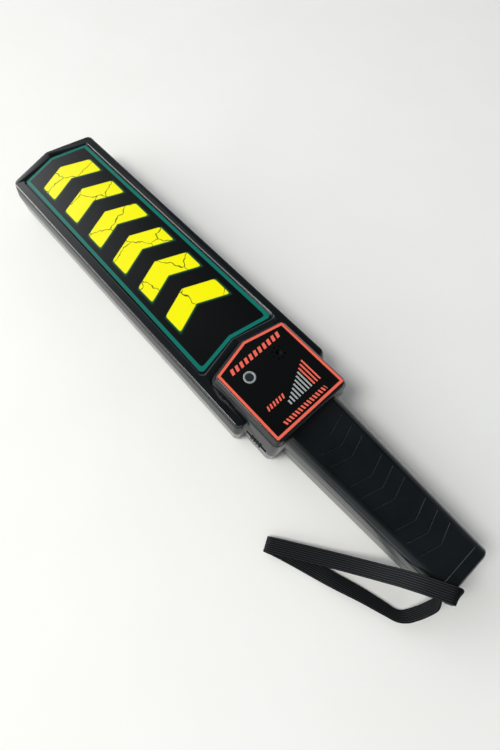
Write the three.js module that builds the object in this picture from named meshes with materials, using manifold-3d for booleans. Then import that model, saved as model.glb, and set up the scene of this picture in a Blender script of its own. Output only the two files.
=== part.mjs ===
// Hand-held security metal detector: a flat search paddle, a raised control block and a grip,
// moulded as two half shells that meet on a level seam and are screwed together from the back.
// Millimetres. X runs from the nose of the paddle to the end of the grip, Z is up, and the
// wand lies on its flat back with the origin under the middle of it.

import * as THREE from 'three';
import { mergeVertices } from 'three/addons/utils/BufferGeometryUtils.js';
import Module from 'manifold-3d';

// Driving dimensions of the housing.
const paddleLength = 274.2;
const paddleWidth = 80.2;
const noseSweep = 10.1;
const seamHeight = 20;
const rimHeight = 30.4;
const blockHeight = 40.4;
const blockLength = 69.2;
const blockSetback = 6.8;
const blockPoint = 7.5;
const blockOverhang = 24.2;
const gripLength = 112;
const gripHeight = 32.8;
const gripRootWidth = 47;
const gripEndWidth = 36.4;
const capLength = 7.2;
const wall = 2.2;

// Clearances shared by the whole assembly.
const fit = 0.3;
const seatGap = 0.1;
const cutOverrun = 3;

// Fineness of round shapes.
const arcSteps = 5;
const smallSides = 12;
const tinySides = 8;

const overallLength = paddleLength + blockOverhang + gripLength;
const blockWidth = paddleWidth - 2 * blockSetback;
const noseX = -overallLength / 2;
const endX = overallLength / 2;
const shoulderX = noseX + paddleLength;
const blockRearX = shoulderX + blockOverhang;
const blockFrontX = blockRearX - blockLength;
const capSeamX = endX - capLength;

const wasm = await Module();
wasm.setup();

// A closed triangle mesh as a solid that can be joined and cut.
function solidOf(geometry) {
  const bare = geometry.clone();
  bare.deleteAttribute('normal');
  bare.deleteAttribute('uv');
  const merged = mergeVertices(bare);
  const vertProperties = new Float32Array(merged.attributes.position.array);
  const triVerts = new Uint32Array(merged.index.array);
  return new wasm.Manifold(new wasm.Mesh({ numProp: 3, vertProperties, triVerts }));
}

// The way back, from a solid to a geometry with flat faces.
function geometryOf(solid) {
  const { vertProperties, triVerts, numProp } = solid.getMesh();
  const positions = new Float32Array(vertProperties.length / numProp * 3);
  for (let i = 0; i < positions.length / 3; i += 1) {
    positions.set(vertProperties.subarray(i * numProp, i * numProp + 3), i * 3);
  }
  const geometry = new THREE.BufferGeometry();
  geometry.setAttribute('position', new THREE.BufferAttribute(positions, 3));
  geometry.setIndex(new THREE.BufferAttribute(new Uint32Array(triVerts), 1));
  const flat = geometry.toNonIndexed();
  flat.computeVertexNormals();
  return flat;
}

function join(first, ...others) {
  return others.reduce((sum, next) => sum.add(next), first);
}

function cut(first, ...others) {
  return others.reduce((rest, next) => rest.subtract(next), first);
}

// A rectangular block between two opposite corners.
function block(x0, x1, y0, y1, z0, z1) {
  const box = new THREE.BoxGeometry(x1 - x0, y1 - y0, z1 - z0);
  box.translate((x0 + x1) / 2, (y0 + y1) / 2, (z0 + z1) / 2);
  return solidOf(box);
}

// A round post along Z from z0 to z1.
function post(radius, z0, z1, x, y, sides = smallSides) {
  const cylinder = new THREE.CylinderGeometry(radius, radius, z1 - z0, sides);
  cylinder.rotateX(Math.PI / 2);
  cylinder.translate(x, y, (z0 + z1) / 2);
  return solidOf(cylinder);
}

// A round peg along Y from y0 to y1.
function peg(radius, y0, y1, x, z, sides = smallSides) {
  const cylinder = new THREE.CylinderGeometry(radius, radius, y1 - y0, sides);
  cylinder.translate(x, (y0 + y1) / 2, z);
  return solidOf(cylinder);
}

// A body of revolution about Z, from a profile of [radius, height] pairs on or off the axis.
function turned(profile, x, y, sides = smallSides) {
  const lathe = new THREE.LatheGeometry(profile.map(([r, z]) => new THREE.Vector2(r, z)), sides);
  lathe.rotateX(Math.PI / 2);
  lathe.translate(x, y, 0);
  return solidOf(lathe);
}

// A flat outline of [x, y] points, raised from z0 to z1.
function plate(points, z0, z1, holes = []) {
  const shape = new THREE.Shape(points.map(([x, y]) => new THREE.Vector2(x, y)));
  for (const hole of holes) {
    shape.holes.push(new THREE.Path(hole.map(([x, y]) => new THREE.Vector2(x, y))));
  }
  const slab = new THREE.ExtrudeGeometry(shape, { depth: z1 - z0, bevelEnabled: false });
  slab.translate(0, 0, z0);
  return solidOf(slab);
}

// An outline given by its corners, anticlockwise, drawn in by an inset and with every corner
// rounded, outward or inward. The number of points stays the same for every inset, so outlines
// can be lofted.
function roundedOutline(corners, radii, inset, steps = arcSteps) {
  const points = [];
  const count = corners.length;
  for (let i = 0; i < count; i += 1) {
    const here = new THREE.Vector2(...corners[i]);
    const before = new THREE.Vector2(...corners[(i + count - 1) % count]);
    const after = new THREE.Vector2(...corners[(i + 1) % count]);
    const arriving = here.clone().sub(before).normalize();
    const leaving = after.clone().sub(here).normalize();
    const normalIn = new THREE.Vector2(-arriving.y, arriving.x);
    const normalOut = new THREE.Vector2(-leaving.y, leaving.x);
    const mitre = normalIn.clone().add(normalOut).divideScalar(1 + normalIn.dot(normalOut));
    const turn = arriving.cross(leaving) < 0 ? -1 : 1;
    const radius = turn * Math.max(radii[i] - turn * inset, leastRadius);
    const centre = here.clone().addScaledVector(mitre, inset + radius);
    const start = Math.atan2(-normalIn.y, -normalIn.x);
    const sweep = Math.atan2(arriving.cross(leaving), arriving.dot(leaving));
    for (let k = 0; k <= steps; k += 1) {
      const angle = start + sweep * k / steps;
      points.push([centre.x + radius * Math.cos(angle), centre.y + radius * Math.sin(angle)]);
    }
  }
  return points;
}
const leastRadius = 0.6;

// A closed skin through rings of points, the first and last ring capped.
function loft(rings, capPlane) {
  const size = rings[0].length;
  const vertices = rings.flat().map((point) => point.toArray()).flat();
  const faces = [];
  for (let r = 0; r + 1 < rings.length; r += 1) {
    for (let k = 0; k < size; k += 1) {
      const a = r * size + k;
      const b = r * size + (k + 1) % size;
      faces.push(a, b, b + size, a, b + size, a + size);
    }
  }
  const contour = rings[0].map((point) => new THREE.Vector2(point[capPlane[0]], point[capPlane[1]]));
  const last = (rings.length - 1) * size;
  for (const [a, b, c] of THREE.ShapeUtils.triangulateShape(contour, [])) {
    const turn = contour[b].clone().sub(contour[a]).cross(contour[c].clone().sub(contour[a]));
    const face = turn > 0 ? [a, b, c] : [a, c, b];
    faces.push(face[0], face[2], face[1]);
    faces.push(last + face[0], last + face[1], last + face[2]);
  }
  const geometry = new THREE.BufferGeometry();
  geometry.setAttribute('position', new THREE.Float32BufferAttribute(vertices, 3));
  geometry.setIndex(faces);
  return solidOf(geometry);
}

// One plan outline repeated at several heights, each with its own inset and draft. A draft keeps
// the rounding of the corners. The rear and the front wall can each hold back a share of the
// draft, so that they lean less than the flanks.
function stack(corners, radii, layers, rearHoldShare = 0, frontHoldShare = 0) {
  const rearX = Math.max(...corners.map(([x]) => x));
  const rings = layers.map(([z, inset, draft = 0]) => {
    const held = corners.map(([x, y]) => (
      [x === rearX ? x + draft * rearHoldShare : x - draft * frontHoldShare, y]
    ));
    const kept = radii.map((radius) => radius + draft);
    return roundedOutline(held, kept, inset + draft).map(([x, y]) => new THREE.Vector3(x, y, z));
  });
  return loft(rings, ['x', 'y']);
}

// Paddle: a long flat box with a shallow pointed nose, a little narrower there than at its
// shoulder. Its flanks lean out from the rim down to the seam while the nose stands upright, a
// fine groove runs under the rim, and the edges of the back are rounded.
const noseTaper = 1.2;
const noseHoldShare = 1;
const noseRadius = 4.8;
const shoulderRadius = 3.8;
const flankDraft = 1.35;
const rimInset = 2;
const rimChamfer = 0.6;
const rimBandHeight = 1.9;
const rimGrooveWidth = 0.5;
const rimGrooveDepth = 0.8;
const seamGrooveDepth = 0.5;
const seamGrooveHalf = 0.45;
const backRadius = 4;
const backRoundSteps = 3;
const backDraft = 0.6;

const paddleCorners = [
  [noseX, 0],
  [noseX + noseSweep, noseTaper - paddleWidth / 2],
  [shoulderX, -paddleWidth / 2],
  [shoulderX, paddleWidth / 2],
  [noseX + noseSweep, paddleWidth / 2 - noseTaper],
];
const paddleRadii = [noseRadius, noseRadius, shoulderRadius, shoulderRadius, noseRadius];

// The rounded edge of a flat back: heights and insets from the floor up to the flank.
function backEdge(radius, draft, extra) {
  const layers = [];
  for (let k = 0; k <= backRoundSteps; k += 1) {
    const angle = Math.PI / 2 * k / backRoundSteps;
    const height = extra + radius * (1 - Math.cos(angle));
    const inset = extra + draft + radius * (1 - Math.sin(angle));
    layers.push([height, inset]);
  }
  return layers;
}

// The small V that marks the seam on every flank.
const seamGroove = [
  [seamHeight - seamGrooveHalf, 0],
  [seamHeight, seamGrooveDepth],
  [seamHeight + seamGrooveHalf, 0],
];

const paddleBody = stack(paddleCorners, paddleRadii, [
  ...backEdge(backRadius, backDraft, 0),
  ...seamGroove,
  [rimHeight - rimBandHeight - rimGrooveWidth, 0, flankDraft],
  [rimHeight - rimBandHeight - rimGrooveWidth / 2, rimGrooveDepth, flankDraft],
  [rimHeight - rimBandHeight, rimGrooveDepth, flankDraft],
  [rimHeight - rimBandHeight + rimGrooveWidth / 2, 0, rimInset - rimChamfer / 2],
  [rimHeight - rimChamfer, 0, rimInset],
  [rimHeight, rimChamfer, rimInset],
], 0, noseHoldShare);

// The front label lies in a shallow tray that is sunk into the paddle. The rear wall of the
// tray is notched and runs along the front of the control block.
const trayDepth = 1.6;
const trayFloor = rimHeight - trayDepth;
const traySideMargin = 5.7;
const trayFrontMargin = 3.5;
const trayRearGap = 3.6;
const trayTaper = 2;
const trayWallDraft = 0.5;
const trayRadius = 3;
const trayHalf = paddleWidth / 2 - rimInset - traySideMargin;
const trayFrontX = noseX + rimInset + trayFrontMargin;
const traySweep = noseSweep * (trayHalf - trayTaper) / (paddleWidth / 2 - noseTaper);
const trayNotchX = blockFrontX - trayRearGap;
const trayRearX = trayNotchX + 2 * blockPoint * trayHalf / blockWidth;

const trayCorners = [
  [trayFrontX, 0],
  [trayFrontX + traySweep, trayTaper - trayHalf],
  [trayRearX, -trayHalf],
  [trayNotchX, 0],
  [trayRearX, trayHalf],
  [trayFrontX + traySweep, trayHalf - trayTaper],
];
const tray = stack(trayCorners, trayCorners.map(() => trayRadius), [
  [trayFloor, trayWallDraft],
  [rimHeight, 0],
  [rimHeight + cutOverrun, 0],
]);

// Control block: a raised five-sided housing whose front points at the nose. Its upper band
// leans in more than its flanks, and its top edge is chamfered.
const blockRadius = 4.4;
const blockFlankDraft = 2.7;
const blockBandHeight = 5.4;
const blockBandStep = 0.5;
const blockTopInset = 4.3;
const blockChamfer = 1;
const blockBackDraft = 0.5;
const blockRearShare = 0.54;

const blockFrontPointX = blockFrontX;
const blockFrontCornerX = blockFrontX + blockPoint;
const blockCorners = [
  [blockFrontPointX, 0],
  [blockFrontCornerX, -blockWidth / 2],
  [blockRearX, -blockWidth / 2],
  [blockRearX, blockWidth / 2],
  [blockFrontCornerX, blockWidth / 2],
];
const blockRadii = blockCorners.map(() => blockRadius);
const blockBandZ = blockHeight - blockBandHeight;

const controlBlock = stack(blockCorners, blockRadii, [
  ...backEdge(backRadius, blockBackDraft, 0),
  ...seamGroove,
  [blockBandZ, 0, blockFlankDraft],
  [blockBandZ + blockBandStep / 2, 0, blockFlankDraft + blockBandStep],
  [blockHeight - blockChamfer, 0, blockTopInset],
  [blockHeight, blockChamfer, blockTopInset],
], blockRearShare);

// A narrow groove in the face of the paddle runs round the foot of the block.
const footGrooveWidth = 0.9;
const footGrooveDepth = 1;
const footDraft = blockFlankDraft * (rimHeight - seamHeight) / (blockBandZ - seamHeight);
const footGroove = plate(
  roundedOutline(blockCorners, blockRadii.map((r) => r + footDraft), footDraft - footGrooveWidth),
  rimHeight - footGrooveDepth, rimHeight + cutOverrun,
);

// Grip: lofted along X between a wide root under the block and a narrower end. Its section is a
// rounded rectangle with a flat top for the thumb.
const gripShoulder = 6;
const gripBackRadius = 5;
const gripRootX = blockRearX - blockOverhang;
const gripSideDraft = 0.8;

// The section of the grip at one place, as [y, z] points, anticlockwise seen from the end.
function gripSection(width, inset, marksSeam) {
  const half = width / 2;
  const corners = [
    [-half + gripSideDraft, 0],
    [half - gripSideDraft, 0],
    [half, seamHeight],
    [half - gripSideDraft, gripHeight],
    [-half + gripSideDraft, gripHeight],
    [-half, seamHeight],
  ];
  const radii = [gripBackRadius, gripBackRadius, 0, gripShoulder, gripShoulder, 0];
  const points = roundedOutline(corners, radii, inset);
  if (marksSeam) {
    const turn = arcSteps + 1;
    const rightSeam = 2 * turn;
    const leftSeam = rightSeam + corners.length / 2 * turn;
    for (let k = 0; k < turn; k += 1) {
      const share = k / arcSteps;
      const lift = seamGrooveHalf * (2 * share - 1);
      const depth = seamGrooveDepth * (1 - Math.abs(2 * share - 1));
      points[rightSeam + k] = [half - depth, seamHeight + lift];
      points[leftSeam + k] = [depth - half, seamHeight - lift];
    }
  }
  return points;
}

function gripWidthAt(x) {
  const share = (x - gripRootX) / (endX - gripRootX);
  return gripRootWidth + (gripEndWidth - gripRootWidth) * share;
}

function gripRing(x, inset, marksSeam) {
  const section = gripSection(gripWidthAt(x), inset, marksSeam);
  return section.map(([y, z]) => new THREE.Vector3(x, y, z));
}

// A length of grip between two places on its axis.
function gripSpan(x0, x1, inset, marksSeam) {
  return loft([gripRing(x0, inset, marksSeam), gripRing(x1, inset, marksSeam)], ['y', 'z']);
}

const gripBody = gripSpan(gripRootX, capSeamX, 0, true);

// Hollows of the three parts. A greater inset gives the faces of the locating lip.
const lipThickness = 1.1;
const lipHeight = 2;
const lipFoot = 2;

function hollow(inset) {
  const paddleRoof = trayFloor - inset;
  const paddleHollow = stack(paddleCorners, paddleRadii, [
    ...backEdge(backRadius - wall, backDraft, inset),
    [seamHeight, inset],
    [paddleRoof, inset, flankDraft],
  ], 0, noseHoldShare);
  const blockHollow = stack(blockCorners, blockRadii, [
    ...backEdge(backRadius - wall, blockBackDraft, inset),
    [seamHeight, inset],
    [blockBandZ, inset, blockFlankDraft],
    [blockHeight - inset, inset, blockTopInset],
  ], blockRearShare);
  const gripHollow = gripSpan(gripRootX, capSeamX + cutOverrun, inset, false);
  return join(paddleHollow, blockHollow, gripHollow);
}

const raised = join(controlBlock, gripBody);
const outside = cut(join(paddleBody, raised), tray, footGroove.subtract(raised));
const inside = hollow(wall);
const reach = overallLength;
const belowSeam = block(-reach, reach, -reach, reach, -reach, seamHeight - fit / 2);
const aboveSeam = block(-reach, reach, -reach, reach, seamHeight + fit / 2, reach);

// Screws: five pan-head screws clamp the paddle and block, and a sixth clamps the grip. Each
// sits in a deep well in the back and bites into a post of the upper shell.
const screwRadius = 1.25;
const screwHeadRadius = 2.7;
const screwHeadHeight = 2.1;
const screwWellDepth = 7;
const screwPostWall = 1.7;
const screwBite = 6;
const screwRecessRadius = 1.1;
const screwRecessDepth = 1.2;
const wellRadius = screwHeadRadius + fit;
const lowerPostRadius = wellRadius + screwPostWall;
const upperPostRadius = screwRadius + fit + screwPostWall;

const coilFrontGap = 20;
const coilRearGap = 10;
const formerFrontX = noseX + coilFrontGap;
const formerRearX = blockFrontX - coilRearGap;
const paddleScrewShares = [0.161, 0.5328, 0.9045];
const blockScrewSetback = 14;
const gripScrewShare = 0.25;
const gripScrewX = blockRearX + gripScrewShare * gripLength;
const screwPlaces = [
  ...paddleScrewShares.map((share) => [formerFrontX + (formerRearX - formerFrontX) * share, 0]),
  [blockFrontCornerX + blockScrewSetback, -trayHalf],
  [blockFrontCornerX + blockScrewSetback, trayHalf],
  [gripScrewX, 0],
];

// Places of the indicator and the sounder on the block, and of the controls in its flanks.
const fittingSetback = 25.75;
const fittingX = blockFrontX + fittingSetback;
const lampY = -13.1;
const sounderY = 11.6;
const controlSetback = 14.35;
const controlX = blockRearX - controlSetback;
const controlZ = seamHeight;
const lensRadius = 4;
const lampHoleRadius = lensRadius + fit;
const soundHoleRadius = 0.65;
const soundRingRadius = 4.1;
const soundCentreRadius = 2.1;
const soundHoleCount = 8;

// The sound holes: a ring of small holes about a wider one.
function soundHoles(z0, z1, growth) {
  const holes = [post(soundCentreRadius + growth, z0, z1, fittingX, sounderY)];
  for (let k = 0; k < soundHoleCount; k += 1) {
    const angle = 2 * Math.PI * k / soundHoleCount;
    const x = fittingX + soundRingRadius * Math.cos(angle);
    const y = sounderY + soundRingRadius * Math.sin(angle);
    holes.push(post(soundHoleRadius + growth, z0, z1, x, y, tinySides));
  }
  return join(...holes);
}

// Slide switch knob and its slot in the flank, across the seam.
const knobLength = 8.5;
const knobHeight = 3.4;
const knobTravel = 4.2;
const knobProud = 1;
const slotLength = knobLength + 2 * (knobTravel + fit);
const slotHeight = knobHeight + 2 * fit;
const flankY = blockWidth / 2;

const switchSlot = block(
  controlX - slotLength / 2, controlX + slotLength / 2,
  -flankY - cutOverrun, -flankY + wall + cutOverrun,
  controlZ - slotHeight / 2, controlZ + slotHeight / 2,
);

// Sensitivity button and its round hole, in the far flank at the same station.
const buttonRadius = 3.5;
const buttonHoleSides = 20;
const buttonHole = peg(
  buttonRadius + fit, flankY - wall - cutOverrun, flankY + cutOverrun,
  controlX, controlZ, buttonHoleSides,
);

// Grip pattern: three groups of three fine grooves, each bent to point at the end.
const chevronGroups = 3;
const chevronsPerGroup = 3;
const chevronPitchShare = 0.075;
const chevronGroupShare = 0.281;
const chevronSetback = 12.25;
const chevronPitch = gripLength * chevronPitchShare;
const chevronGroupPitch = gripLength * chevronGroupShare;
const chevronFirstX = blockRearX + chevronSetback;
const chevronHalfWidth = 13.3;
const chevronLead = 3.9;
const chevronWidth = 0.7;
const chevronDepth = 0.5;

function chevronGroove(tipX) {
  const tailX = tipX - chevronLead;
  const outline = [
    [tailX, -chevronHalfWidth],
    [tailX + chevronWidth, -chevronHalfWidth],
    [tipX + chevronWidth, 0],
    [tailX + chevronWidth, chevronHalfWidth],
    [tailX, chevronHalfWidth],
    [tipX, 0],
  ];
  return plate(outline, gripHeight - chevronDepth, gripHeight + cutOverrun);
}

const chevrons = [];
for (let g = 0; g < chevronGroups; g += 1) {
  for (let k = 0; k < chevronsPerGroup; k += 1) {
    chevrons.push(chevronGroove(chevronFirstX + g * chevronGroupPitch + k * chevronPitch));
  }
}

// Battery: a nine volt block lying flat in the end of the grip, its terminals to the front.
const batteryLength = 46.4;
const batteryWidth = 26.5;
const batteryHeight = 17.5;
const batteryEdge = 1.5;
const terminalLength = 2.8;
const terminalSpacing = 12.7;
const studRadius = 2.8;
const socketRadius = 4;
const padHeight = 4.6;
const batteryRearX = capSeamX - 2 * fit;
const batteryFrontX = batteryRearX - batteryLength;
const batteryZ = wall + seatGap + padHeight + fit;
const snapThickness = 4;
const snapHeight = 13;
const snapMouth = fit;
const snapX = batteryFrontX - snapMouth - snapThickness;
const bayWallThickness = 1.8;
const bayWallX = snapX - fit - bayWallThickness;
const leadNotchWidth = 16;

// Labels for the ribs inside the shells: cross ribs carry the coil former and stiffen the paddle.
const ribThickness = 1.6;
const coilRibCount = 5;
const coilFloor = 7;
const coilSideGap = 10.1;
const coilRibLedge = 1;
const formerHalfWidth = paddleWidth / 2 - coilSideGap;
const coilRibHalfWidth = formerHalfWidth + coilRibLedge;
const ribInset = 22;

function coilRibs() {
  const ribs = [];
  const first = formerFrontX + ribInset;
  const pitch = (formerRearX - ribInset - first) / (coilRibCount - 1);
  for (let k = 0; k < coilRibCount; k += 1) {
    const x = first + k * pitch;
    ribs.push(block(
      x - ribThickness / 2, x + ribThickness / 2,
      -coilRibHalfWidth, coilRibHalfWidth,
      wall - seatGap, coilFloor - fit,
    ));
  }
  return ribs;
}

// Battery bay: a front wall with a notch for the leads, and ribs over the battery.
const bayTop = gripHeight - wall / 2;
const holdRibCount = 3;
const holdRibHalfWidth = batteryWidth / 2;

function bayWall(z0, z1) {
  const panel = gripSpan(bayWallX, bayWallX + bayWallThickness, wall / 2, false).intersect(
    block(-reach, reach, -reach, reach, z0, z1),
  );
  const middle = batteryZ + batteryHeight / 2;
  const notch = block(
    bayWallX - cutOverrun, bayWallX + bayWallThickness + cutOverrun,
    -leadNotchWidth / 2, leadNotchWidth / 2,
    middle - snapHeight / 2, middle + snapHeight / 2,
  );
  return panel.subtract(notch);
}

function holdRibs() {
  const ribs = [];
  for (let k = 0; k < holdRibCount; k += 1) {
    const x = batteryFrontX + batteryLength * (k + 1) / (holdRibCount + 2);
    ribs.push(block(
      x - ribThickness / 2, x + ribThickness / 2,
      -holdRibHalfWidth, holdRibHalfWidth,
      batteryZ + batteryHeight + fit, bayTop,
    ));
  }
  return ribs;
}

// Circuit board: hangs under the roof of the block on two posts.
const boardFrontGap = 15;
const boardRearGap = 6.2;
const boardSideGap = 6.4;
const boardLength = blockLength - boardFrontGap - boardRearGap;
const boardWidth = blockWidth - 2 * boardSideGap;
const boardThickness = 1.6;
const boardFrontX = blockFrontX + boardFrontGap;
const boardZ = 27;
const boardTop = boardZ + boardThickness;
const boardPostRadius = 2.6;
const boardScrewRadius = 0.9;
const boardScrewHeadRadius = 2;
const boardScrewHeadHeight = 1.3;
const boardScrewBite = 4.5;
const boardPostSetback = 19;
const boardPostMargin = 5.5;
const boardPostX = boardFrontX + boardPostSetback;
const boardPostY = boardWidth / 2 - boardPostMargin;
const boardPosts = [[boardPostX, -boardPostY], [boardPostX, boardPostY]];

// Lower shell: the back half, with screw wells, coil ribs, the bay wall and a lip that
// locates the upper shell.
function lowerShell() {
  const tub = outside.subtract(inside).intersect(belowSeam);
  const posts = screwPlaces.map(([x, y]) => (
    post(lowerPostRadius, wall - seatGap, seamHeight - fit / 2, x, y)
  ));
  const lipOuter = hollow(wall + fit);
  const lipInner = hollow(wall + fit + lipThickness);
  const lipBand = block(-reach, capSeamX, -reach, reach, seamHeight - lipFoot, seamHeight + lipHeight);
  const lip = lipOuter.subtract(lipInner).intersect(lipBand);
  const lipRoot = hollow(wall - seatGap).subtract(lipInner).intersect(
    block(-reach, capSeamX, -reach, reach, seamHeight - lipFoot, seamHeight - fit / 2),
  );
  const lipGaps = block(
    boardFrontX, reach, -reach, reach, seamHeight - lipFoot - cutOverrun, reach,
  );
  let shell = join(tub, ...posts, ...coilRibs(), bayWall(wall - seatGap, seamHeight - fit / 2));
  shell = join(shell, lipRoot.subtract(lipGaps), lip.subtract(lipGaps));
  for (const [x, y] of screwPlaces) {
    shell = shell.subtract(post(wellRadius, -cutOverrun, screwWellDepth, x, y));
    shell = shell.subtract(post(screwRadius + fit, 0, seamHeight + lipHeight, x, y));
  }
  return cut(shell, switchSlot, buttonHole);
}

// Upper shell: the face half, with the label tray, the block, the grip pattern and the posts
// that the screws bite into.
function upperShell() {
  const lid = outside.subtract(inside).intersect(aboveSeam);
  const roofed = screwPlaces.map(([x, y]) => (
    post(upperPostRadius, seamHeight + fit / 2, roofAt(x) - wall / 2, x, y)
  ));
  const hangers = boardPosts.map(([x, y]) => (
    post(boardPostRadius, boardTop + fit, blockHeight - wall / 2, x, y)
  ));
  let shell = join(lid, ...roofed, ...hangers, ...holdRibs(), bayWall(seamHeight + fit / 2, bayTop));
  for (const [x, y] of screwPlaces) {
    shell = shell.subtract(post(screwRadius + fit, 0, screwTopAt(x) + fit, x, y));
  }
  for (const [x, y] of boardPosts) {
    shell = shell.subtract(post(boardScrewRadius + fit, boardZ, boardTop + boardScrewBite, x, y));
  }
  return cut(
    shell,
    post(lampHoleRadius, boardTop, blockHeight + cutOverrun, fittingX, lampY, buttonHoleSides),
    soundHoles(boardTop, blockHeight + cutOverrun, 0),
    panelRecess(),
    switchSlot,
    buttonHole,
    ...chevrons,
  );
}

// Height of the roof over a screw: the tray over the paddle, the flat top over the grip.
function roofAt(x) {
  return x > blockRearX ? gripHeight : trayFloor;
}

function screwTopAt() {
  return seamHeight + screwBite;
}

// Front label: a printed sheet with a pointed front and a notched rear that follows the block.
const labelThickness = 0.5;
const labelMargin = 1.1;
const labelRearGap = 2.6;
const labelNotch = 5.8;
const labelFrontRadius = 1;
const labelRearRadius = 2.4;
const labelInset = trayWallDraft + labelMargin;
const labelHalf = trayHalf - labelInset;
const labelFrontX = trayFrontX + labelInset;
const labelSweep = traySweep * labelHalf / trayHalf;
const labelRearX = trayRearX - labelRearGap;

function frontLabel() {
  const corners = [
    [labelFrontX, 0],
    [labelFrontX + labelSweep, trayTaper - labelHalf],
    [labelRearX, -labelHalf],
    [labelRearX - labelNotch, 0],
    [labelRearX, labelHalf],
    [labelFrontX + labelSweep, labelHalf - trayTaper],
  ];
  const radii = corners.map(([x]) => (x > blockFrontX ? labelRearRadius : labelFrontRadius));
  const outline = roundedOutline(corners, radii, 0);
  return plate(outline, trayFloor + seatGap, trayFloor + seatGap + labelThickness);
}

// Control label: covers the top of the block and is pierced for the lamp and the sound holes.
const panelThickness = 0.5;
const panelMargin = 0.2;
const panelRearHold = 1.4;
const panelSink = 0.4;
const panelRadius = 3;

function panelOutline(growth) {
  const corners = blockCorners.map(([x, y]) => [x === blockRearX ? x + panelRearHold : x, y]);
  const radii = corners.map(() => blockTopInset + panelRadius);
  return roundedOutline(corners, radii, blockTopInset + blockChamfer + panelMargin - growth);
}

function panelRecess() {
  return plate(panelOutline(seatGap), blockHeight - panelSink, blockHeight + cutOverrun);
}

function controlLabel() {
  const bottom = blockHeight - panelSink + seatGap;
  const sheet = plate(panelOutline(0), bottom, bottom + panelThickness);
  return cut(
    sheet,
    post(lampHoleRadius, 0, blockHeight + cutOverrun, fittingX, lampY, buttonHoleSides),
    soundHoles(0, blockHeight + cutOverrun, 0),
  );
}

// Lamp lens: a flanged tube that is pressed into the roof from inside, with a domed window.
const lensWall = 1.2;
const lensFlange = 1.3;
const lensFlangeThickness = 1;
const lensProud = 0.5;
const lensWindowDrop = 0.6;
const lensWindowThickness = 1.2;
const lensRoof = blockHeight - wall;

function lampLens() {
  const top = blockHeight + lensProud;
  const bore = lensRadius - lensWall;
  const profile = [
    [0, top - lensWindowDrop - lensWindowThickness],
    [bore, top - lensWindowDrop - lensWindowThickness],
    [bore, lensRoof - fit - lensFlangeThickness],
    [lensRadius + lensFlange, lensRoof - fit - lensFlangeThickness],
    [lensRadius + lensFlange, lensRoof - fit],
    [lensRadius, lensRoof - fit],
    [lensRadius, top - lensProud / 2],
    [lensRadius - lensProud / 2, top],
    [bore, top],
    [bore - lensProud / 2, top - lensWindowDrop],
    [0, top - lensWindowDrop],
  ];
  return turned(profile, fittingX, lampY, buttonHoleSides);
}

// Alarm lamp: a five millimetre indicator that stands on the board, its dome inside the lens.
const lampRadius = 2.3;
const lampRimRadius = 2.6;
const lampRimHeight = 1;

function alarmLamp() {
  const top = blockHeight + lensProud - lensWindowDrop - lensWindowThickness - fit;
  const foot = boardTop + seatGap;
  const profile = [
    [0, foot],
    [lampRimRadius, foot],
    [lampRimRadius, foot + lampRimHeight],
    [lampRadius, foot + lampRimHeight],
    [lampRadius, top - lampRadius],
    [lampRadius * Math.cos(Math.PI / 6), top - lampRadius * (1 - Math.sin(Math.PI / 6))],
    [lampRadius * Math.cos(Math.PI / 3), top - lampRadius * (1 - Math.sin(Math.PI / 3))],
    [0, top],
  ];
  return turned(profile, fittingX, lampY);
}

// Sounder: a round can under the sound holes, with its own port.
const sounderRadius = 6;
const sounderPortRadius = 1.4;
const sounderPortDepth = 1.5;

function sounder() {
  const foot = boardTop + seatGap;
  const top = blockHeight - wall - fit;
  const profile = [
    [0, foot],
    [sounderRadius, foot],
    [sounderRadius, top - fit],
    [sounderRadius - fit, top],
    [sounderPortRadius, top],
    [sounderPortRadius, top - sounderPortDepth],
    [0, top - sounderPortDepth],
  ];
  return turned(profile, fittingX, sounderY, buttonHoleSides);
}

// Slide switch: a case that hangs under the board with a long window, and a ribbed knob whose
// stem reaches through the flank into that window.
const switchCaseLength = 19;
const switchCaseDepth = 7;
const switchCaseSetback = 1.6;
const switchCaseFrontY = -(flankY - wall - switchCaseSetback);
const stemLength = 2.6;
const stemHeight = 2.2;
const stemReach = 3.5;
const knobGrooveCount = 3;
const knobGrooveWidth = 1.1;
const knobGrooveDepth = 0.6;
const switchCaseBelow = 1;
const switchCaseBottom = controlZ - slotHeight / 2 - switchCaseBelow;

function switchCase() {
  const shellBlock = block(
    controlX - switchCaseLength / 2, controlX + switchCaseLength / 2,
    switchCaseFrontY, switchCaseFrontY + switchCaseDepth,
    switchCaseBottom, boardZ - seatGap,
  );
  const window = block(
    controlX - stemLength / 2 - knobTravel - fit, controlX + stemLength / 2 + knobTravel + fit,
    switchCaseFrontY - cutOverrun, switchCaseFrontY + stemReach + fit,
    controlZ - stemHeight / 2 - fit, controlZ + stemHeight / 2 + fit,
  );
  return shellBlock.subtract(window);
}

function switchKnob() {
  const outer = -flankY - knobProud;
  const pad = block(
    controlX - knobLength / 2, controlX + knobLength / 2,
    outer, switchCaseFrontY - fit,
    controlZ - knobHeight / 2, controlZ + knobHeight / 2,
  );
  const stem = block(
    controlX - stemLength / 2, controlX + stemLength / 2,
    switchCaseFrontY - fit - seatGap, switchCaseFrontY + stemReach,
    controlZ - stemHeight / 2, controlZ + stemHeight / 2,
  );
  const grooves = [];
  for (let k = 0; k < knobGrooveCount; k += 1) {
    const x = controlX + knobLength * ((k + 1) / (knobGrooveCount + 1) - 1 / 2);
    grooves.push(block(
      x - knobGrooveWidth / 2, x + knobGrooveWidth / 2,
      outer - cutOverrun, outer + knobGrooveDepth,
      controlZ - knobHeight, controlZ + knobHeight,
    ));
  }
  return cut(join(pad, stem), ...grooves);
}

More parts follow.
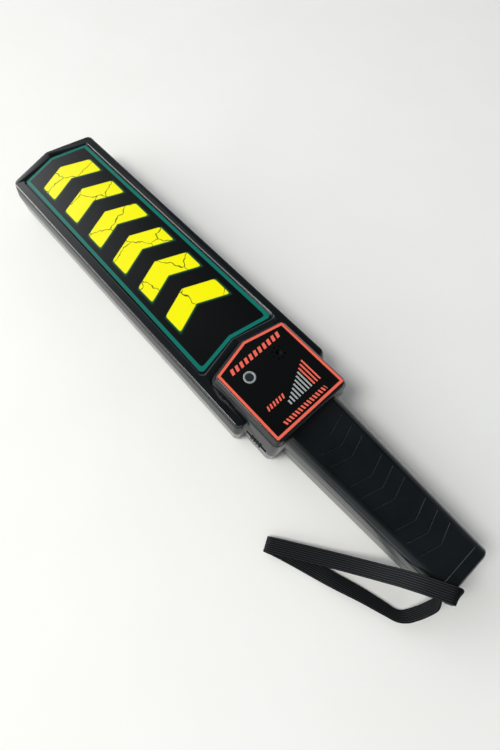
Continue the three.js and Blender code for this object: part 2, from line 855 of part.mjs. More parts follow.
// Sensitivity button: a round cap with a flange behind the flank, and the small push switch
// that it acts on.
const buttonProud = 1.4;
const buttonTravel = 1;
const buttonFlangeWidth = 1.2;
const buttonFlangeRadius = buttonRadius + buttonFlangeWidth;
const buttonFlangeThickness = 1.1;
const buttonEdge = 0.5;
const flankInnerY = flankY - wall;
const buttonSetback = 1.1;
const buttonFlangeY = flankInnerY - buttonSetback;
const plungerRadius = 1.6;
const plungerLength = 1.2;
const pushCaseWidth = 7;
const pushCaseDepth = 4.5;

function sensitivityButton() {
  const cap = peg(
    buttonRadius, buttonFlangeY - seatGap, flankY + buttonProud - buttonEdge, controlX, controlZ,
  );
  const crown = peg(
    buttonRadius - buttonEdge, flankY, flankY + buttonProud, controlX, controlZ,
  );
  const flange = peg(
    buttonFlangeRadius, buttonFlangeY - buttonFlangeThickness, buttonFlangeY, controlX, controlZ,
  );
  return join(cap, crown, flange);
}

function pushSwitch() {
  const plungerEnd = buttonFlangeY - buttonFlangeThickness - buttonTravel - fit;
  const caseY = plungerEnd - plungerLength;
  const body = block(
    controlX - pushCaseWidth / 2, controlX + pushCaseWidth / 2,
    caseY - pushCaseDepth, caseY,
    switchCaseBottom, boardZ - seatGap,
  );
  const plunger = peg(plungerRadius, caseY - seatGap, plungerEnd, controlX, controlZ);
  return body.add(plunger);
}

// Circuit board and what is soldered to it.
const holeGrowth = fit;

function circuitBoard() {
  const sheet = block(
    boardFrontX, boardFrontX + boardLength, -boardWidth / 2, boardWidth / 2, boardZ, boardTop,
  );
  const holes = boardPosts.map(([x, y]) => (
    post(boardScrewRadius + holeGrowth, boardZ - cutOverrun, boardTop + cutOverrun, x, y)
  ));
  return cut(sheet, ...holes);
}

const chipLength = 19.4;
const chipWidth = 6.4;
const chipHeight = 3.4;
const chipSetback = 24;
const chipX = boardFrontX + chipSetback;

function detectorChip() {
  const body = block(
    chipX, chipX + chipLength, -chipWidth / 2, chipWidth / 2,
    boardTop + seatGap, boardTop + seatGap + chipHeight,
  );
  const notch = post(chipWidth / 8, boardTop, boardTop + 2 * chipHeight, chipX, 0, tinySides);
  return body.subtract(notch);
}

const trimSize = 6.6;
const trimHeight = 4;
const trimScrewRadius = 1.8;
const trimSlotWidth = 0.6;
const trimSetback = 10;
const trimX = boardFrontX + trimSetback;

function trimPot() {
  const top = boardZ - seatGap;
  const body = block(
    trimX - trimSize / 2, trimX + trimSize / 2, -trimSize / 2, trimSize / 2, top - trimHeight, top,
  );
  const dial = post(trimScrewRadius, top - trimHeight - trimSlotWidth, top - seatGap, trimX, 0);
  const slot = block(
    trimX - trimScrewRadius, trimX + trimScrewRadius, -trimSlotWidth / 2, trimSlotWidth / 2,
    top - trimHeight - 2 * trimSlotWidth, top - trimHeight,
  );
  return body.add(dial).subtract(slot);
}

const capacitorRadius = 3.15;
const capacitorHeight = 7.5;
const capacitorSetback = 34;
const capacitorX = boardFrontX + capacitorSetback;
const capacitorY = 9;

function filterCapacitor() {
  const top = boardZ - seatGap;
  const profile = [
    [0, top - capacitorHeight],
    [capacitorRadius - fit, top - capacitorHeight],
    [capacitorRadius, top - capacitorHeight + fit],
    [capacitorRadius, top],
    [0, top],
  ];
  return turned(profile, capacitorX, capacitorY);
}

const motorRadius = 5;
const motorHeight = 3.4;
const motorSetback = 24;
const motorX = boardFrontX + motorSetback;
const motorY = -9;

function vibrationMotor() {
  const top = boardZ - seatGap;
  const disc = post(motorRadius, top - motorHeight, top, motorX, motorY, buttonHoleSides);
  const tail = block(
    motorX, motorX + motorRadius + fit, motorY - motorRadius / 2, motorY + motorRadius / 2,
    top - motorHeight / 2, top,
  );
  return disc.add(tail);
}

function boardScrew([x, y]) {
  const headTop = boardZ - seatGap;
  const head = post(boardScrewHeadRadius, headTop - boardScrewHeadHeight, headTop, x, y);
  const shank = post(boardScrewRadius, headTop - seatGap, boardTop + boardScrewBite - fit, x, y);
  const slot = block(
    x - boardScrewHeadRadius, x + boardScrewHeadRadius, y - fit, y + fit,
    headTop - 2 * boardScrewHeadHeight, headTop - boardScrewHeadHeight / 2,
  );
  return head.add(shank).subtract(slot);
}

// Search coil: wire wound on a long former of channel section that rests on the ribs.
const formerHeight = 11;
const formerDepth = 6;
const formerFlange = 1.2;
const formerWeb = 1.4;
const formerRadius = 12;

function racetrack(inset) {
  const half = formerHalfWidth;
  const corners = [
    [formerFrontX, -half],
    [formerRearX, -half],
    [formerRearX, half],
    [formerFrontX, half],
  ];
  return roundedOutline(corners, corners.map(() => formerRadius), inset);
}

function band(outerInset, innerInset, z0, z1) {
  const outer = plate(racetrack(outerInset), z0, z1);
  const inner = plate(racetrack(innerInset), z0 - cutOverrun, z1 + cutOverrun);
  return outer.subtract(inner);
}

function coilFormer() {
  const whole = band(0, formerDepth, coilFloor, coilFloor + formerHeight);
  const channel = band(
    -cutOverrun, formerDepth - formerWeb,
    coilFloor + formerFlange, coilFloor + formerHeight - formerFlange,
  );
  return whole.subtract(channel);
}

function searchCoil() {
  return band(
    fit, formerDepth - formerWeb - fit,
    coilFloor + formerFlange + fit, coilFloor + formerHeight - formerFlange - fit,
  );
}

// A thin insulated wire along a smooth route of [x, y, z] points.
const wireRadius = 0.65;
const wireSteps = 14;

function wire(route) {
  const path = new THREE.CatmullRomCurve3(route.map((point) => new THREE.Vector3(...point)));
  const section = new THREE.Shape().absarc(0, 0, wireRadius, 0, 2 * Math.PI);
  return solidOf(new THREE.ExtrudeGeometry(section, {
    steps: wireSteps,
    curveSegments: tinySides / 2,
    extrudePath: path,
  }));
}

// Coil leads run from the rear of the former up to the front edge of the board.
const coilLeadSpread = 4;
const coilLeadLift = 9;

function coilLead(side) {
  const y = side * coilLeadSpread;
  const startX = formerRearX + fit + wireRadius / 2;
  const startZ = coilFloor + formerHeight / 2;
  const landX = boardFrontX + coilLeadSpread;
  return wire([
    [startX, y, startZ],
    [startX + coilLeadSpread, y, startZ],
    [(startX + landX) / 2, y, startZ + coilLeadLift / 2],
    [landX, y, boardZ - coilLeadSpread],
    [landX, y, boardZ - seatGap],
  ]);
}

// Battery leads run from the snap past the grip screw to the rear edge of the board.
const batteryLeadSpread = 6.5;
const batteryLeadSag = 4;

function batteryLead(side) {
  const y = side * batteryLeadSpread;
  const startX = snapX - fit;
  const startZ = batteryZ + batteryHeight / 2;
  const landX = boardFrontX + boardLength - coilLeadSpread;
  return wire([
    [startX, y, startZ],
    [startX - batteryLeadSpread, y, startZ],
    [gripScrewX, y, startZ - batteryLeadSag],
    [(gripScrewX + landX) / 2, y, startZ],
    [landX, y, boardZ - batteryLeadSpread],
    [landX, y, boardZ - seatGap],
  ]);
}

// The battery, its snap connector and the foam pad under it.
function battery() {
  const half = batteryWidth / 2;
  const corners = [
    [-half, batteryZ],
    [half, batteryZ],
    [half, batteryZ + batteryHeight],
    [-half, batteryZ + batteryHeight],
  ];
  const ring = (x) => (
    roundedOutline(corners, corners.map(() => batteryEdge), 0, 2)
      .map(([y, z]) => new THREE.Vector3(x, y, z))
  );
  const body = loft([ring(batteryFrontX), ring(batteryRearX)], ['y', 'z']);
  return join(body, terminal(-1, studRadius, 0), terminal(1, socketRadius, 0));
}

// A round post along X at one of the two terminals. A growth makes the pocket that it sits in.
function terminal(side, radius, growth) {
  const length = terminalLength + 2 * growth;
  const cylinder = new THREE.CylinderGeometry(radius + growth, radius + growth, length, smallSides);
  cylinder.rotateZ(Math.PI / 2);
  cylinder.translate(
    batteryFrontX - length / 2 + growth + seatGap,
    side * terminalSpacing / 2,
    batteryZ + batteryHeight / 2,
  );
  return solidOf(cylinder);
}

function batterySnap() {
  const middle = batteryZ + batteryHeight / 2;
  const half = batteryWidth / 2;
  const body = block(
    snapX, snapX + snapThickness, -half, half, middle - snapHeight / 2, middle + snapHeight / 2,
  );
  return cut(body, terminal(-1, studRadius, fit), terminal(1, socketRadius, fit));
}

function batteryPad() {
  const half = batteryWidth / 2;
  const margin = batteryEdge + fit;
  return block(
    batteryFrontX + margin, batteryRearX - margin, margin - half, half - margin,
    wall + seatGap, wall + seatGap + padHeight,
  );
}

// End of the grip: a battery cap that slides off along X, and beside it the strap anchor, which
// stays in the grip.
const anchorSplitY = -7.3;
const endRounding = 1;
const tongueThickness = 1.6;
const tongueLength = 11;
const tongueBottom = 9;
const tongueTop = 25;
const tongueGap = 0.5;
const capTravel = 26;

// The last length of the grip, with the rounded edge of its end face.
function gripEnd() {
  const rings = [
    gripRing(capSeamX + fit, 0, false),
    gripRing(endX - endRounding, 0, false),
    gripRing(endX, endRounding, false),
  ];
  return loft(rings, ['y', 'z']);
}

function batteryCap() {
  const face = gripEnd().intersect(
    block(0, reach, anchorSplitY + fit / 2, reach, -reach, reach),
  );
  const sideY = batteryWidth / 2 + tongueGap;
  const tongue = block(
    capSeamX + fit - tongueLength, capSeamX + 2 * fit,
    sideY, sideY + tongueThickness, tongueBottom, tongueTop,
  );
  return face.add(tongue);
}

// Strap anchor: the left quarter of the end, with a slot that takes the tail of the strap.
const strapWidth = 9.5;
const strapThickness = 1.4;
const clampTailWidth = 6.5;
const anchorSlotHeight = 4.4;
const anchorSlotDepth = 5.5;
const anchorSlotZ = 23.6;
const anchorSlotY = -13.2;

function strapAnchor() {
  const face = gripEnd().intersect(
    block(0, reach, -reach, anchorSplitY - fit / 2, -reach, reach),
  );
  const sideY = -batteryWidth / 2 - tongueGap;
  const foot = block(
    capSeamX + fit - tongueLength, capSeamX + 2 * fit,
    sideY - tongueThickness, sideY, tongueBottom, tongueTop,
  );
  const slot = block(
    endX - anchorSlotDepth, endX + cutOverrun,
    anchorSlotY - clampTailWidth / 2 - fit, anchorSlotY + clampTailWidth / 2 + fit,
    anchorSlotZ, anchorSlotZ + anchorSlotHeight,
  );
  return face.add(foot).subtract(slot);
}

// Strap clamp: the pressed block that holds both ends of the strap, its tail in the slot.
const clampLength = 4;
const clampHeight = 8.4;
const clampX = endX + fit;
const clampZ = anchorSlotZ + (anchorSlotHeight - clampHeight) / 2;
const clampEdge = 0.6;

function strapClamp() {
  const half = strapWidth / 2;
  const x0 = clampX;
  const x1 = clampX + clampLength;
  const corners = [
    [x0, clampZ],
    [x1, clampZ],
    [x1, clampZ + clampHeight],
    [x0, clampZ + clampHeight],
  ];
  const ring = (y, inset) => (
    roundedOutline(corners, corners.map(() => clampEdge), inset, 2)
      .map(([x, z]) => new THREE.Vector3(x, y, z))
  );
  const body = loft([
    ring(anchorSlotY + half, 0),
    ring(anchorSlotY - half, 0),
  ], ['x', 'z']);
  const tail = block(
    endX - anchorSlotDepth + fit, clampX + clampEdge,
    anchorSlotY - clampTailWidth / 2, anchorSlotY + clampTailWidth / 2,
    anchorSlotZ + fit, anchorSlotZ + anchorSlotHeight - fit,
  );
  return body.add(tail);
}

// Wrist strap: a flat elastic band. It leaves the top of the clamp, crosses the corner of the
// grip, lies down to the left, folds over itself and comes back to the underside of the clamp.
// Places are measured from the end face of the grip. After each place come the heading of the
// band's width and its rise, in degrees.
const strapSteps = 64;
const strapRoute = [
  [2.2, -13.2, 30.5, -90, 0],
  [2.1, -13.3, 32.6, -88, 0],
  [1, -13.9, 35, -80, 0],
  [-1.4, -15.3, 36, -74, 0],
  [-4.8, -17.3, 35.8, -71, 0],
  [-9.6, -20.1, 34.8, -70, 0],
  [-14, -22.7, 33, -70, 0],
  [-17.6, -25, 29.6, -69, 0],
  [-21, -27.2, 25, -67, 0],
  [-25, -30.1, 19.6, -66, 0],
  [-29.6, -33.4, 14.4, -64, 0],
  [-39.6, -40.5, 8.9, -60, 0],
  [-50.8, -48.6, 6.2, -57, 0],
  [-62.6, -57.2, 4.9, -56, 0],
  [-72.8, -64.7, 4.3, -58, 0],
  [-76.9, -67.8, 3.9, -60, 0],
  [-78, -68.6, 2.6, -62, 0],
  [-76.6, -67.9, 1.3, -64, 0],
  [-72.7, -66, 1, -66, 0],
  [-61.8, -61.5, 1, -69, 0],
  [-47.2, -55.9, 1.5, -71, 6],
  [-37.2, -52.2, 2.9, -73, 22],
  [-23.1, -46.4, 3.6, -75, 32],
  [-9.1, -41.4, 4.4, -72, 43],
  [-3, -39.2, 4.8, -64, 50],
  [0.4, -36.2, 5.4, -52, 57],
  [2.9, -30.4, 7.7, -60, 52],
  [4.3, -24.3, 11, -67, 46],
  [4.7, -19.2, 13.8, -76, 34],
  [3.6, -15.6, 16.2, -84, 16],
  [2.6, -13.6, 18.4, -90, 3],
  [2.3, -13.2, 19.8, -90, 0],
  [2.3, -13.2, 21, -90, 0],
];

// A smooth path that carries the direction of the band's width along with it.
class BandPath extends THREE.CatmullRomCurve3 {
  constructor(route) {
    super(route.map(([x, y, z]) => new THREE.Vector3(endX + x, y, z)), false, 'centripetal');
    this.turns = route.map((point) => point.slice(3).map(THREE.MathUtils.degToRad));
  }

  widthAt(u) {
    const place = this.getUtoTmapping(u) * (this.turns.length - 1);
    const index = Math.min(Math.floor(place), this.turns.length - 2);
    const [heading, rise] = [0, 1].map((k) => (
      THREE.MathUtils.lerp(this.turns[index][k], this.turns[index + 1][k], place - index)
    ));
    return new THREE.Vector3(
      Math.cos(heading) * Math.cos(rise), Math.sin(heading) * Math.cos(rise), Math.sin(rise),
    );
  }

  computeFrenetFrames(segments) {
    const tangents = [];
    const normals = [];
    const binormals = [];
    for (let i = 0; i <= segments; i += 1) {
      const tangent = this.getTangentAt(i / segments);
      const across = this.widthAt(i / segments);
      across.addScaledVector(tangent, -across.dot(tangent)).normalize();
      tangents.push(tangent);
      normals.push(across);
      binormals.push(new THREE.Vector3().crossVectors(tangent, across));
    }
    return { tangents, normals, binormals };
  }
}

function wristStrap() {
  const half = strapWidth / 2;
  const thin = strapThickness / 2;
  const section = new THREE.Shape([
    [-half, -thin / 2],
    [-half + thin, -thin],
    [half - thin, -thin],
    [half, -thin / 2],
    [half, thin / 2],
    [half - thin, thin],
    [-half + thin, thin],
    [-half, thin / 2],
  ].map(([x, y]) => new THREE.Vector2(x, y)));
  return solidOf(new THREE.ExtrudeGeometry(section, {
    steps: strapSteps,
    extrudePath: new BandPath(strapRoute),
  }));
}

// Housing screw: pan head with a cross recess, shank up into the post of the upper shell.
function shellScrew([x, y]) {
  const seat = screwWellDepth - seatGap;
  const profile = [
    [0, seat - screwHeadHeight + screwRecessDepth],
    [screwRecessRadius, seat - screwHeadHeight],
    [screwHeadRadius - fit, seat - screwHeadHeight],
    [screwHeadRadius, seat - screwHeadHeight / 2],
    [screwHeadRadius, seat],
    [screwRadius, seat],
    [screwRadius, screwTopAt(x) - screwRadius],
    [0, screwTopAt(x)],
  ];
  return turned(profile, x, y);
}

// Materials: colour, roughness and metalness of each.
const finish = (color, roughness, metalness) => () => (
  new THREE.MeshStandardMaterial({ color, roughness, metalness })
);
const blackPlastic = finish(0x17191b, 0.5, 0);
const labelPrint = finish(0x0b1113, 0.45, 0);
const clearPlastic = finish(0x9ba0a2, 0.2, 0);
const redPlastic = finish(0xb3261c, 0.3, 0);
const brightMetal = finish(0xb9bcbf, 0.35, 1);
const blackMetal = finish(0x2a2c2e, 0.4, 0.8);
const boardLaminate = finish(0x1f5a34, 0.5, 0);
const copperWire = finish(0xb0622a, 0.35, 0.9);
const paleNylon = finish(0xcfcabb, 0.5, 0);
const foam = finish(0x3a3c3e, 0.9, 0);
const blackElastic = finish(0x141415, 0.85, 0);
const redWire = finish(0xa52a22, 0.45, 0);
const blackWire = finish(0x151515, 0.45, 0);
const blueTrim = finish(0x2b58a0, 0.4, 0);

const wand = new THREE.Group();

function addPart(name, solid, material) {
  const mesh = new THREE.Mesh(geometryOf(solid), material());
  mesh.name = name;
  wand.add(mesh);
}

addPart('upper_shell', upperShell(), blackPlastic);
addPart('lower_shell', lowerShell(), blackPlastic);
addPart('front_label', frontLabel(), labelPrint);
addPart('control_label', controlLabel(), labelPrint);
addPart('lamp_lens', lampLens(), clearPlastic);
addPart('alarm_lamp', alarmLamp(), redPlastic);
addPart('sounder', sounder(), blackPlastic);
addPart('switch_knob', switchKnob(), blackPlastic);
addPart('switch_case', switchCase(), brightMetal);
addPart('sensitivity_button', sensitivityButton(), redPlastic);
addPart('push_switch', pushSwitch(), blackPlastic);
addPart('circuit_board', circuitBoard(), boardLaminate);
addPart('detector_chip', detectorChip(), blackPlastic);
addPart('trim_pot', trimPot(), blueTrim);
addPart('filter_capacitor', filterCapacitor(), blackPlastic);
addPart('vibration_motor', vibrationMotor(), brightMetal);
addPart('coil_former', coilFormer(), paleNylon);
addPart('search_coil', searchCoil(), copperWire);
addPart('coil_lead_left', coilLead(-1), redWire);
addPart('coil_lead_right', coilLead(1), blackWire);
addPart('battery', battery(), blackMetal);
addPart('battery_snap', batterySnap(), blackPlastic);
addPart('battery_lead_black', batteryLead(-1), blackWire);
addPart('battery_lead_red', batteryLead(1), redWire);
addPart('battery_pad', batteryPad(), foam);
addPart('battery_cap', batteryCap(), blackPlastic);
addPart('strap_anchor', strapAnchor(), blackPlastic);
addPart('strap_clamp', strapClamp(), blackElastic);
addPart('wrist_strap', wristStrap(), blackElastic);
boardPosts.forEach((place, i) => addPart(`board_screw_${i + 1}`, boardScrew(place), brightMetal));
screwPlaces.forEach((place, i) => addPart(`shell_screw_${i + 1}`, shellScrew(place), brightMetal));

export default wand;
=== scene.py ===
import math

import bmesh
import bpy
from mathutils import Matrix, Vector


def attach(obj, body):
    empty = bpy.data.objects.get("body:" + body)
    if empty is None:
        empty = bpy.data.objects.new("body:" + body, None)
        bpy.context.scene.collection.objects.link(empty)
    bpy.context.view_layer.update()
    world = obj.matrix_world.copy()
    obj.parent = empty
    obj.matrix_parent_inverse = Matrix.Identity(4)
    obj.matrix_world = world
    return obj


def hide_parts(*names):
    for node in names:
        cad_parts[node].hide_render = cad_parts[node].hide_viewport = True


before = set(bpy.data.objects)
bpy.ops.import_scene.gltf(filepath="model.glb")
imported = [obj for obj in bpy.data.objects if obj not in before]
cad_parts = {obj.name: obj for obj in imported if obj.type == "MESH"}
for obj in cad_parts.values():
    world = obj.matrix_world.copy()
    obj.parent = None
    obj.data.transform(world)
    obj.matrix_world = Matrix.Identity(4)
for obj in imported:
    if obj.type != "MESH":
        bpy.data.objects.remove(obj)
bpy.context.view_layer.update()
scene = bpy.context.scene
bpy.ops.object.select_all(action="DESELECT")

# Camera. The photograph looks down at the wand from the strap's side, a short way from the
# control block, with the nose of the paddle further off and the grip nearer.
eye = Vector((0.10094, -0.08235, 0.27464))
azimuth = math.radians(53.7256)
elevation = math.radians(69.3517)
roll = math.radians(-5.1583)
film_width = 36
picture_width = 500
focal_length_in_pixels = 408.375
away = Vector((math.sin(azimuth) * math.cos(elevation),
               -math.cos(azimuth) * math.cos(elevation), math.sin(elevation)))
level = (-away).cross(Vector((0, 0, 1))).normalized()
upright = level.cross(-away)
right = level * math.cos(roll) + upright * math.sin(roll)
up = -level * math.sin(roll) + upright * math.cos(roll)
bpy.ops.object.camera_add(location=eye)
camera = bpy.context.object
camera.matrix_world = Matrix(((right.x, up.x, away.x, eye.x), (right.y, up.y, away.y, eye.y),
                              (right.z, up.z, away.z, eye.z), (0, 0, 0, 1)))
camera.data.sensor_fit = "HORIZONTAL"
camera.data.sensor_width = film_width
camera.data.lens = film_width * focal_length_in_pixels / picture_width
camera.data.shift_x = 0.086
camera.data.shift_y = -0.006
camera.data.clip_start = 0.01
scene.camera = camera


# Wrist strap. A flat band of rubber threads woven over with black yarn, so it has fine ribs
# along its length. Both ends are pressed into the clamp, and the loop is folded flat once.
def linear(code):
    """Turns an sRGB hex colour to a linear one with full cover."""
    channels = [int(code[i:i + 2], 16) / 255 for i in (0, 2, 4)]
    return tuple([c / 12.92 if c < 0.04045 else ((c + 0.055) / 1.055) ** 2.4
                  for c in channels] + [1])


def add_node(tree, kind, inputs=None, out=0, **settings):
    """Adds a node, gives it its settings and inputs, and returns one of its outputs."""
    node = tree.nodes.new(kind)
    for name, value in settings.items():
        setattr(node, name, value)
    for key, value in (inputs or {}).items():
        if isinstance(value, bpy.types.NodeSocket):
            tree.links.new(value, node.inputs[key])
        else:
            node.inputs[key].default_value = value
    return node.outputs[out] if out is not None else node


def new_material(name):
    material = bpy.data.materials.new(name)
    material.use_nodes = True
    material.node_tree.nodes.clear()
    return material, material.node_tree


def close_material(tree, inputs):
    """Gives a material its shader, with these inputs, and its output."""
    shader = add_node(tree, "ShaderNodeBsdfPrincipled", inputs)
    add_node(tree, "ShaderNodeOutputMaterial", {"Surface": shader}, out=None)


end_x = 0.2052
strap_width = 0.0095
strap_thickness = 0.0013
strap_rib_count = 8
strap_steps_per_point = 7
# Place of each point, then the heading of the band's width and its rise, in degrees.
strap_route = [
    (end_x + 0.0022, -0.0132, 0.0305, -90, 0),
    (end_x + 0.0021, -0.0133, 0.0326, -88, 0),
    (end_x + 0.0010, -0.0139, 0.0350, -80, 0),
    (end_x - 0.0014, -0.0153, 0.0360, -74, 0),
    (end_x - 0.0048, -0.0173, 0.0358, -71, 0),
    (end_x - 0.0096, -0.0201, 0.0348, -70, 0),
    (end_x - 0.0140, -0.0227, 0.0330, -70, 0),
    (end_x - 0.0176, -0.0250, 0.0296, -69, 0),
    (end_x - 0.0210, -0.0272, 0.0250, -67, 0),
    (end_x - 0.0250, -0.0301, 0.0196, -66, 0),
    (end_x - 0.0296, -0.0334, 0.0144, -64, 0),
    (end_x - 0.0396, -0.0405, 0.0089, -60, 0),
    (end_x - 0.0508, -0.0486, 0.0062, -57, 0),
    (end_x - 0.0626, -0.0572, 0.0049, -56, 0),
    (end_x - 0.0728, -0.0647, 0.0043, -58, 0),
    (end_x - 0.0769, -0.0678, 0.0039, -60, 0),
    (end_x - 0.0780, -0.0686, 0.0026, -62, 0),
    (end_x - 0.0766, -0.0679, 0.0013, -64, 0),
    (end_x - 0.0727, -0.0660, 0.0010, -66, 0),
    (end_x - 0.0618, -0.0615, 0.0010, -69, 0),
    (end_x - 0.0472, -0.0559, 0.0015, -71, 6),
    (end_x - 0.0372, -0.0522, 0.0029, -73, 22),
    (end_x - 0.0231, -0.0464, 0.0036, -75, 32),
    (end_x - 0.0091, -0.0414, 0.0044, -72, 43),
    (end_x - 0.0030, -0.0392, 0.0048, -64, 50),
    (end_x + 0.0004, -0.0362, 0.0054, -52, 57),
    (end_x + 0.0029, -0.0304, 0.0077, -60, 52),
    (end_x + 0.0043, -0.0243, 0.0110, -67, 46),
    (end_x + 0.0047, -0.0192, 0.0138, -76, 34),
    (end_x + 0.0036, -0.0156, 0.0162, -84, 16),
    (end_x + 0.0026, -0.0136, 0.0184, -90, 3),
    (end_x + 0.0023, -0.0132, 0.0198, -90, 0),
    (end_x + 0.0023, -0.0132, 0.0210, -90, 0),
]


def strap_station(index, share):
    """A point on the smooth curve through the route, with the direction of the band's width."""
    last = len(strap_route) - 1
    points = [Vector(strap_route[min(max(index + k, 0), last)][:3]) for k in (-1, 0, 1, 2)]
    if index == 0:
        points[0] = points[1] * 2 - points[2]
    if index + 1 == last:
        points[3] = points[2] * 2 - points[1]
    knots = [0.0]
    for a, b in zip(points, points[1:]):
        knots.append(knots[-1] + (b - a).length ** 0.5)
    here = knots[1] + (knots[2] - knots[1]) * share
    for spans in (((0, 1), (1, 2), (2, 3)), ((0, 2), (1, 3)), ((1, 2),)):
        points = [a.lerp(b, (here - knots[low]) / (knots[high] - knots[low]))
                  for a, b, (low, high) in zip(points, points[1:], spans)]
    a, b = strap_route[index], strap_route[index + 1]
    heading, rise = [math.radians(a[k] + (b[k] - a[k]) * share) for k in (3, 4)]
    width = Vector((math.cos(heading) * math.cos(rise), math.sin(heading) * math.cos(rise),
                    math.sin(rise)))
    return points[0], width


strap_stations = [strap_station(index, step / strap_steps_per_point)
                  for index in range(len(strap_route) - 1)
                  for step in range(strap_steps_per_point)]
strap_stations.append(strap_station(len(strap_route) - 2, 1))
strap_line = [point for point, width in strap_stations]

# The section of the band has a wavy top and back, one wave a rib, and rounded edges.
points_per_rib = 4
edge_steepness = 7
edge_thickness_share = 0.35
valley_thickness_share = 0.8
strap_section = []
for face_sign in (1, -1):
    for k in range(strap_rib_count * points_per_rib + 1):
        across = (k / (strap_rib_count * points_per_rib) * 2 - 1) * face_sign
        crown = abs(math.sin(math.pi * strap_rib_count * (across + 1) / 2))
        crown = valley_thickness_share + (1 - valley_thickness_share) * crown
        edge = min(1, (1 - abs(across)) * edge_steepness) ** 0.5
        edge = edge_thickness_share + (1 - edge_thickness_share) * edge
        strap_section.append((across, strap_thickness / 2 * face_sign * edge * crown))

strap_mesh = bmesh.new()
strap_uv = strap_mesh.loops.layers.uv.new("Band")
rings = []
lengths = [0.0]
for k, (point, width) in enumerate(strap_stations):
    ahead = strap_line[min(k + 1, len(strap_line) - 1)]
    behind = strap_line[max(k - 1, 0)]
    run = (ahead - behind).normalized()
    sideways = (width - run * width.dot(run)).normalized()
    thick = run.cross(sideways)
    rings.append([strap_mesh.verts.new(point + sideways * (across * strap_width / 2)
                                       + thick * height) for across, height in strap_section])
    if k:
        lengths.append(lengths[-1] + (point - strap_line[k - 1]).length)
count = len(strap_section)
for k in range(len(rings) - 1):
    for j in range(count):
        n = (j + 1) % count
        corners = ((k, j), (k, n), (k + 1, n), (k + 1, j))
        face = strap_mesh.faces.new([rings[row][column] for row, column in corners])
        face.smooth = True
        for loop, (row, column) in zip(face.loops, corners):
            loop[strap_uv].uv = (lengths[row], strap_section[column][0] * strap_width / 2)
strap_mesh.faces.new(list(reversed(rings[0])))
strap_mesh.faces.new(rings[-1])
bmesh.ops.recalc_face_normals(strap_mesh, faces=strap_mesh.faces)
strap_data = bpy.data.meshes.new("strap_band")
strap_mesh.to_mesh(strap_data)
strap_mesh.free()
strap_band = bpy.data.objects.new("strap_band", strap_data)
scene.collection.objects.link(strap_band)

# Braided polyester over rubber threads is matt and deep black. Each thread lifts a rib, and the
# highlight where the yarn passes over the rib is painted into its colour, as rows of short
# lighter dashes, which also give the bump. The real picks are 0.5 mm apart and are drawn 0.9 mm
# apart, so that they show, and single fibres give a faint fuzz. Over the first millimetres of the
# band, beside the clamp, the painted highlights and their bump fade out, so it is plain black
# there.
pick_spacing = 0.0009
rib_spacing = strap_width / strap_rib_count
fuzz_scale = 2200.0
plain_band_end = 0.0055
full_dash_start = 0.0085
woven_elastic, tree = new_material("braided_polyester_elastic")
uv = add_node(tree, "ShaderNodeUVMap", uv_map="Band")
scaled = add_node(tree, "ShaderNodeVectorMath",
                  {0: uv, 1: (1 / pick_spacing, 1 / rib_spacing, 1)}, operation="MULTIPLY")
counted = add_node(tree, "ShaderNodeSeparateXYZ", {0: scaled}, out=None)
crest = add_node(tree, "ShaderNodeMath", {0: counted.outputs[1], 1: 0.5}, operation="PINGPONG")
crest = add_node(tree, "ShaderNodeMapRange",
                 {"Value": crest, "From Min": 0.22, "From Max": 0.44})
pick = add_node(tree, "ShaderNodeMath", {0: counted.outputs[0], 1: 0.5}, operation="PINGPONG")
pick = add_node(tree, "ShaderNodeMapRange",
                {"Value": pick, "From Min": 0.08, "From Max": 0.3, "To Min": 0.25})
highlight_dash = add_node(tree, "ShaderNodeMath", {0: crest, 1: pick}, operation="MULTIPLY")
length_on = add_node(tree, "ShaderNodeSeparateXYZ", {0: uv}, out=0)
# The painted highlights fade in between these lengths from the band's start at the clamp.
dash_fade_in = add_node(tree, "ShaderNodeMapRange",
                 {"Value": length_on, "From Min": plain_band_end, "From Max": full_dash_start})
highlight_dash = add_node(tree, "ShaderNodeMath", {0: highlight_dash, 1: dash_fade_in}, operation="MULTIPLY")
fuzz = add_node(tree, "ShaderNodeTexNoise", {"Scale": fuzz_scale, "Detail": 3.0})
# The lighter colour is the painted highlight on the rib crests.
yarn_and_highlight_colour = add_node(tree, "ShaderNodeMixRGB",
                       {"Fac": highlight_dash, "Color1": linear("030304"), "Color2": linear("34383d")})
yarn_and_highlight_colour = add_node(tree, "ShaderNodeMixRGB",
                       {"Fac": 0.3, "Color1": yarn_and_highlight_colour, "Color2": fuzz},
                       blend_type="OVERLAY")
relief = add_node(tree, "ShaderNodeBump",
                  {"Strength": 0.7, "Distance": 0.0002, "Height": highlight_dash})
close_material(tree, {"Base Color": yarn_and_highlight_colour, "Roughness": 0.75, "Specular IOR Level": 0.15,
                      "Normal": relief})
strap_data.materials.append(woven_elastic)
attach(strap_band, "housing")
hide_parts("wrist_strap")

# Housing. The two half shells, the battery cap and the strap anchor are injection moulded in
# black ABS. The steel mould was spark eroded to a fine grain, here drawn 0.4 mm wide so that it
# shows, and so flats have a satin sheen and edges catch a thin line of light.
grain_width = 1 / 2600
cloud_width = 1 / 45
black_abs, tree = new_material("moulded_abs_fine_grain")
place = add_node(tree, "ShaderNodeTexCoord", out=3)
rounded = add_node(tree, "ShaderNodeBevel", {"Radius": 0.0003}, samples=6)
grain = add_node(tree, "ShaderNodeTexNoise",
                 {"Vector": place, "Scale": 1 / grain_width, "Detail": 2.0, "Roughness": 0.6})
cloud = add_node(tree, "ShaderNodeTexNoise",
                 {"Vector": place, "Scale": 1 / cloud_width, "Detail": 4.0, "Roughness": 0.6})
shade = add_node(tree, "ShaderNodeMapRange",
                 {"Value": cloud, "From Min": 0.35, "From Max": 0.65})
abs_colour = add_node(tree, "ShaderNodeMixRGB",
                      {"Fac": shade, "Color1": linear("0f1316"), "Color2": linear("15191c")})
gloss = add_node(tree, "ShaderNodeMapRange",
                 {"Value": grain, "From Min": 0.3, "From Max": 0.7, "To Min": 0.13,
                  "To Max": 0.19})
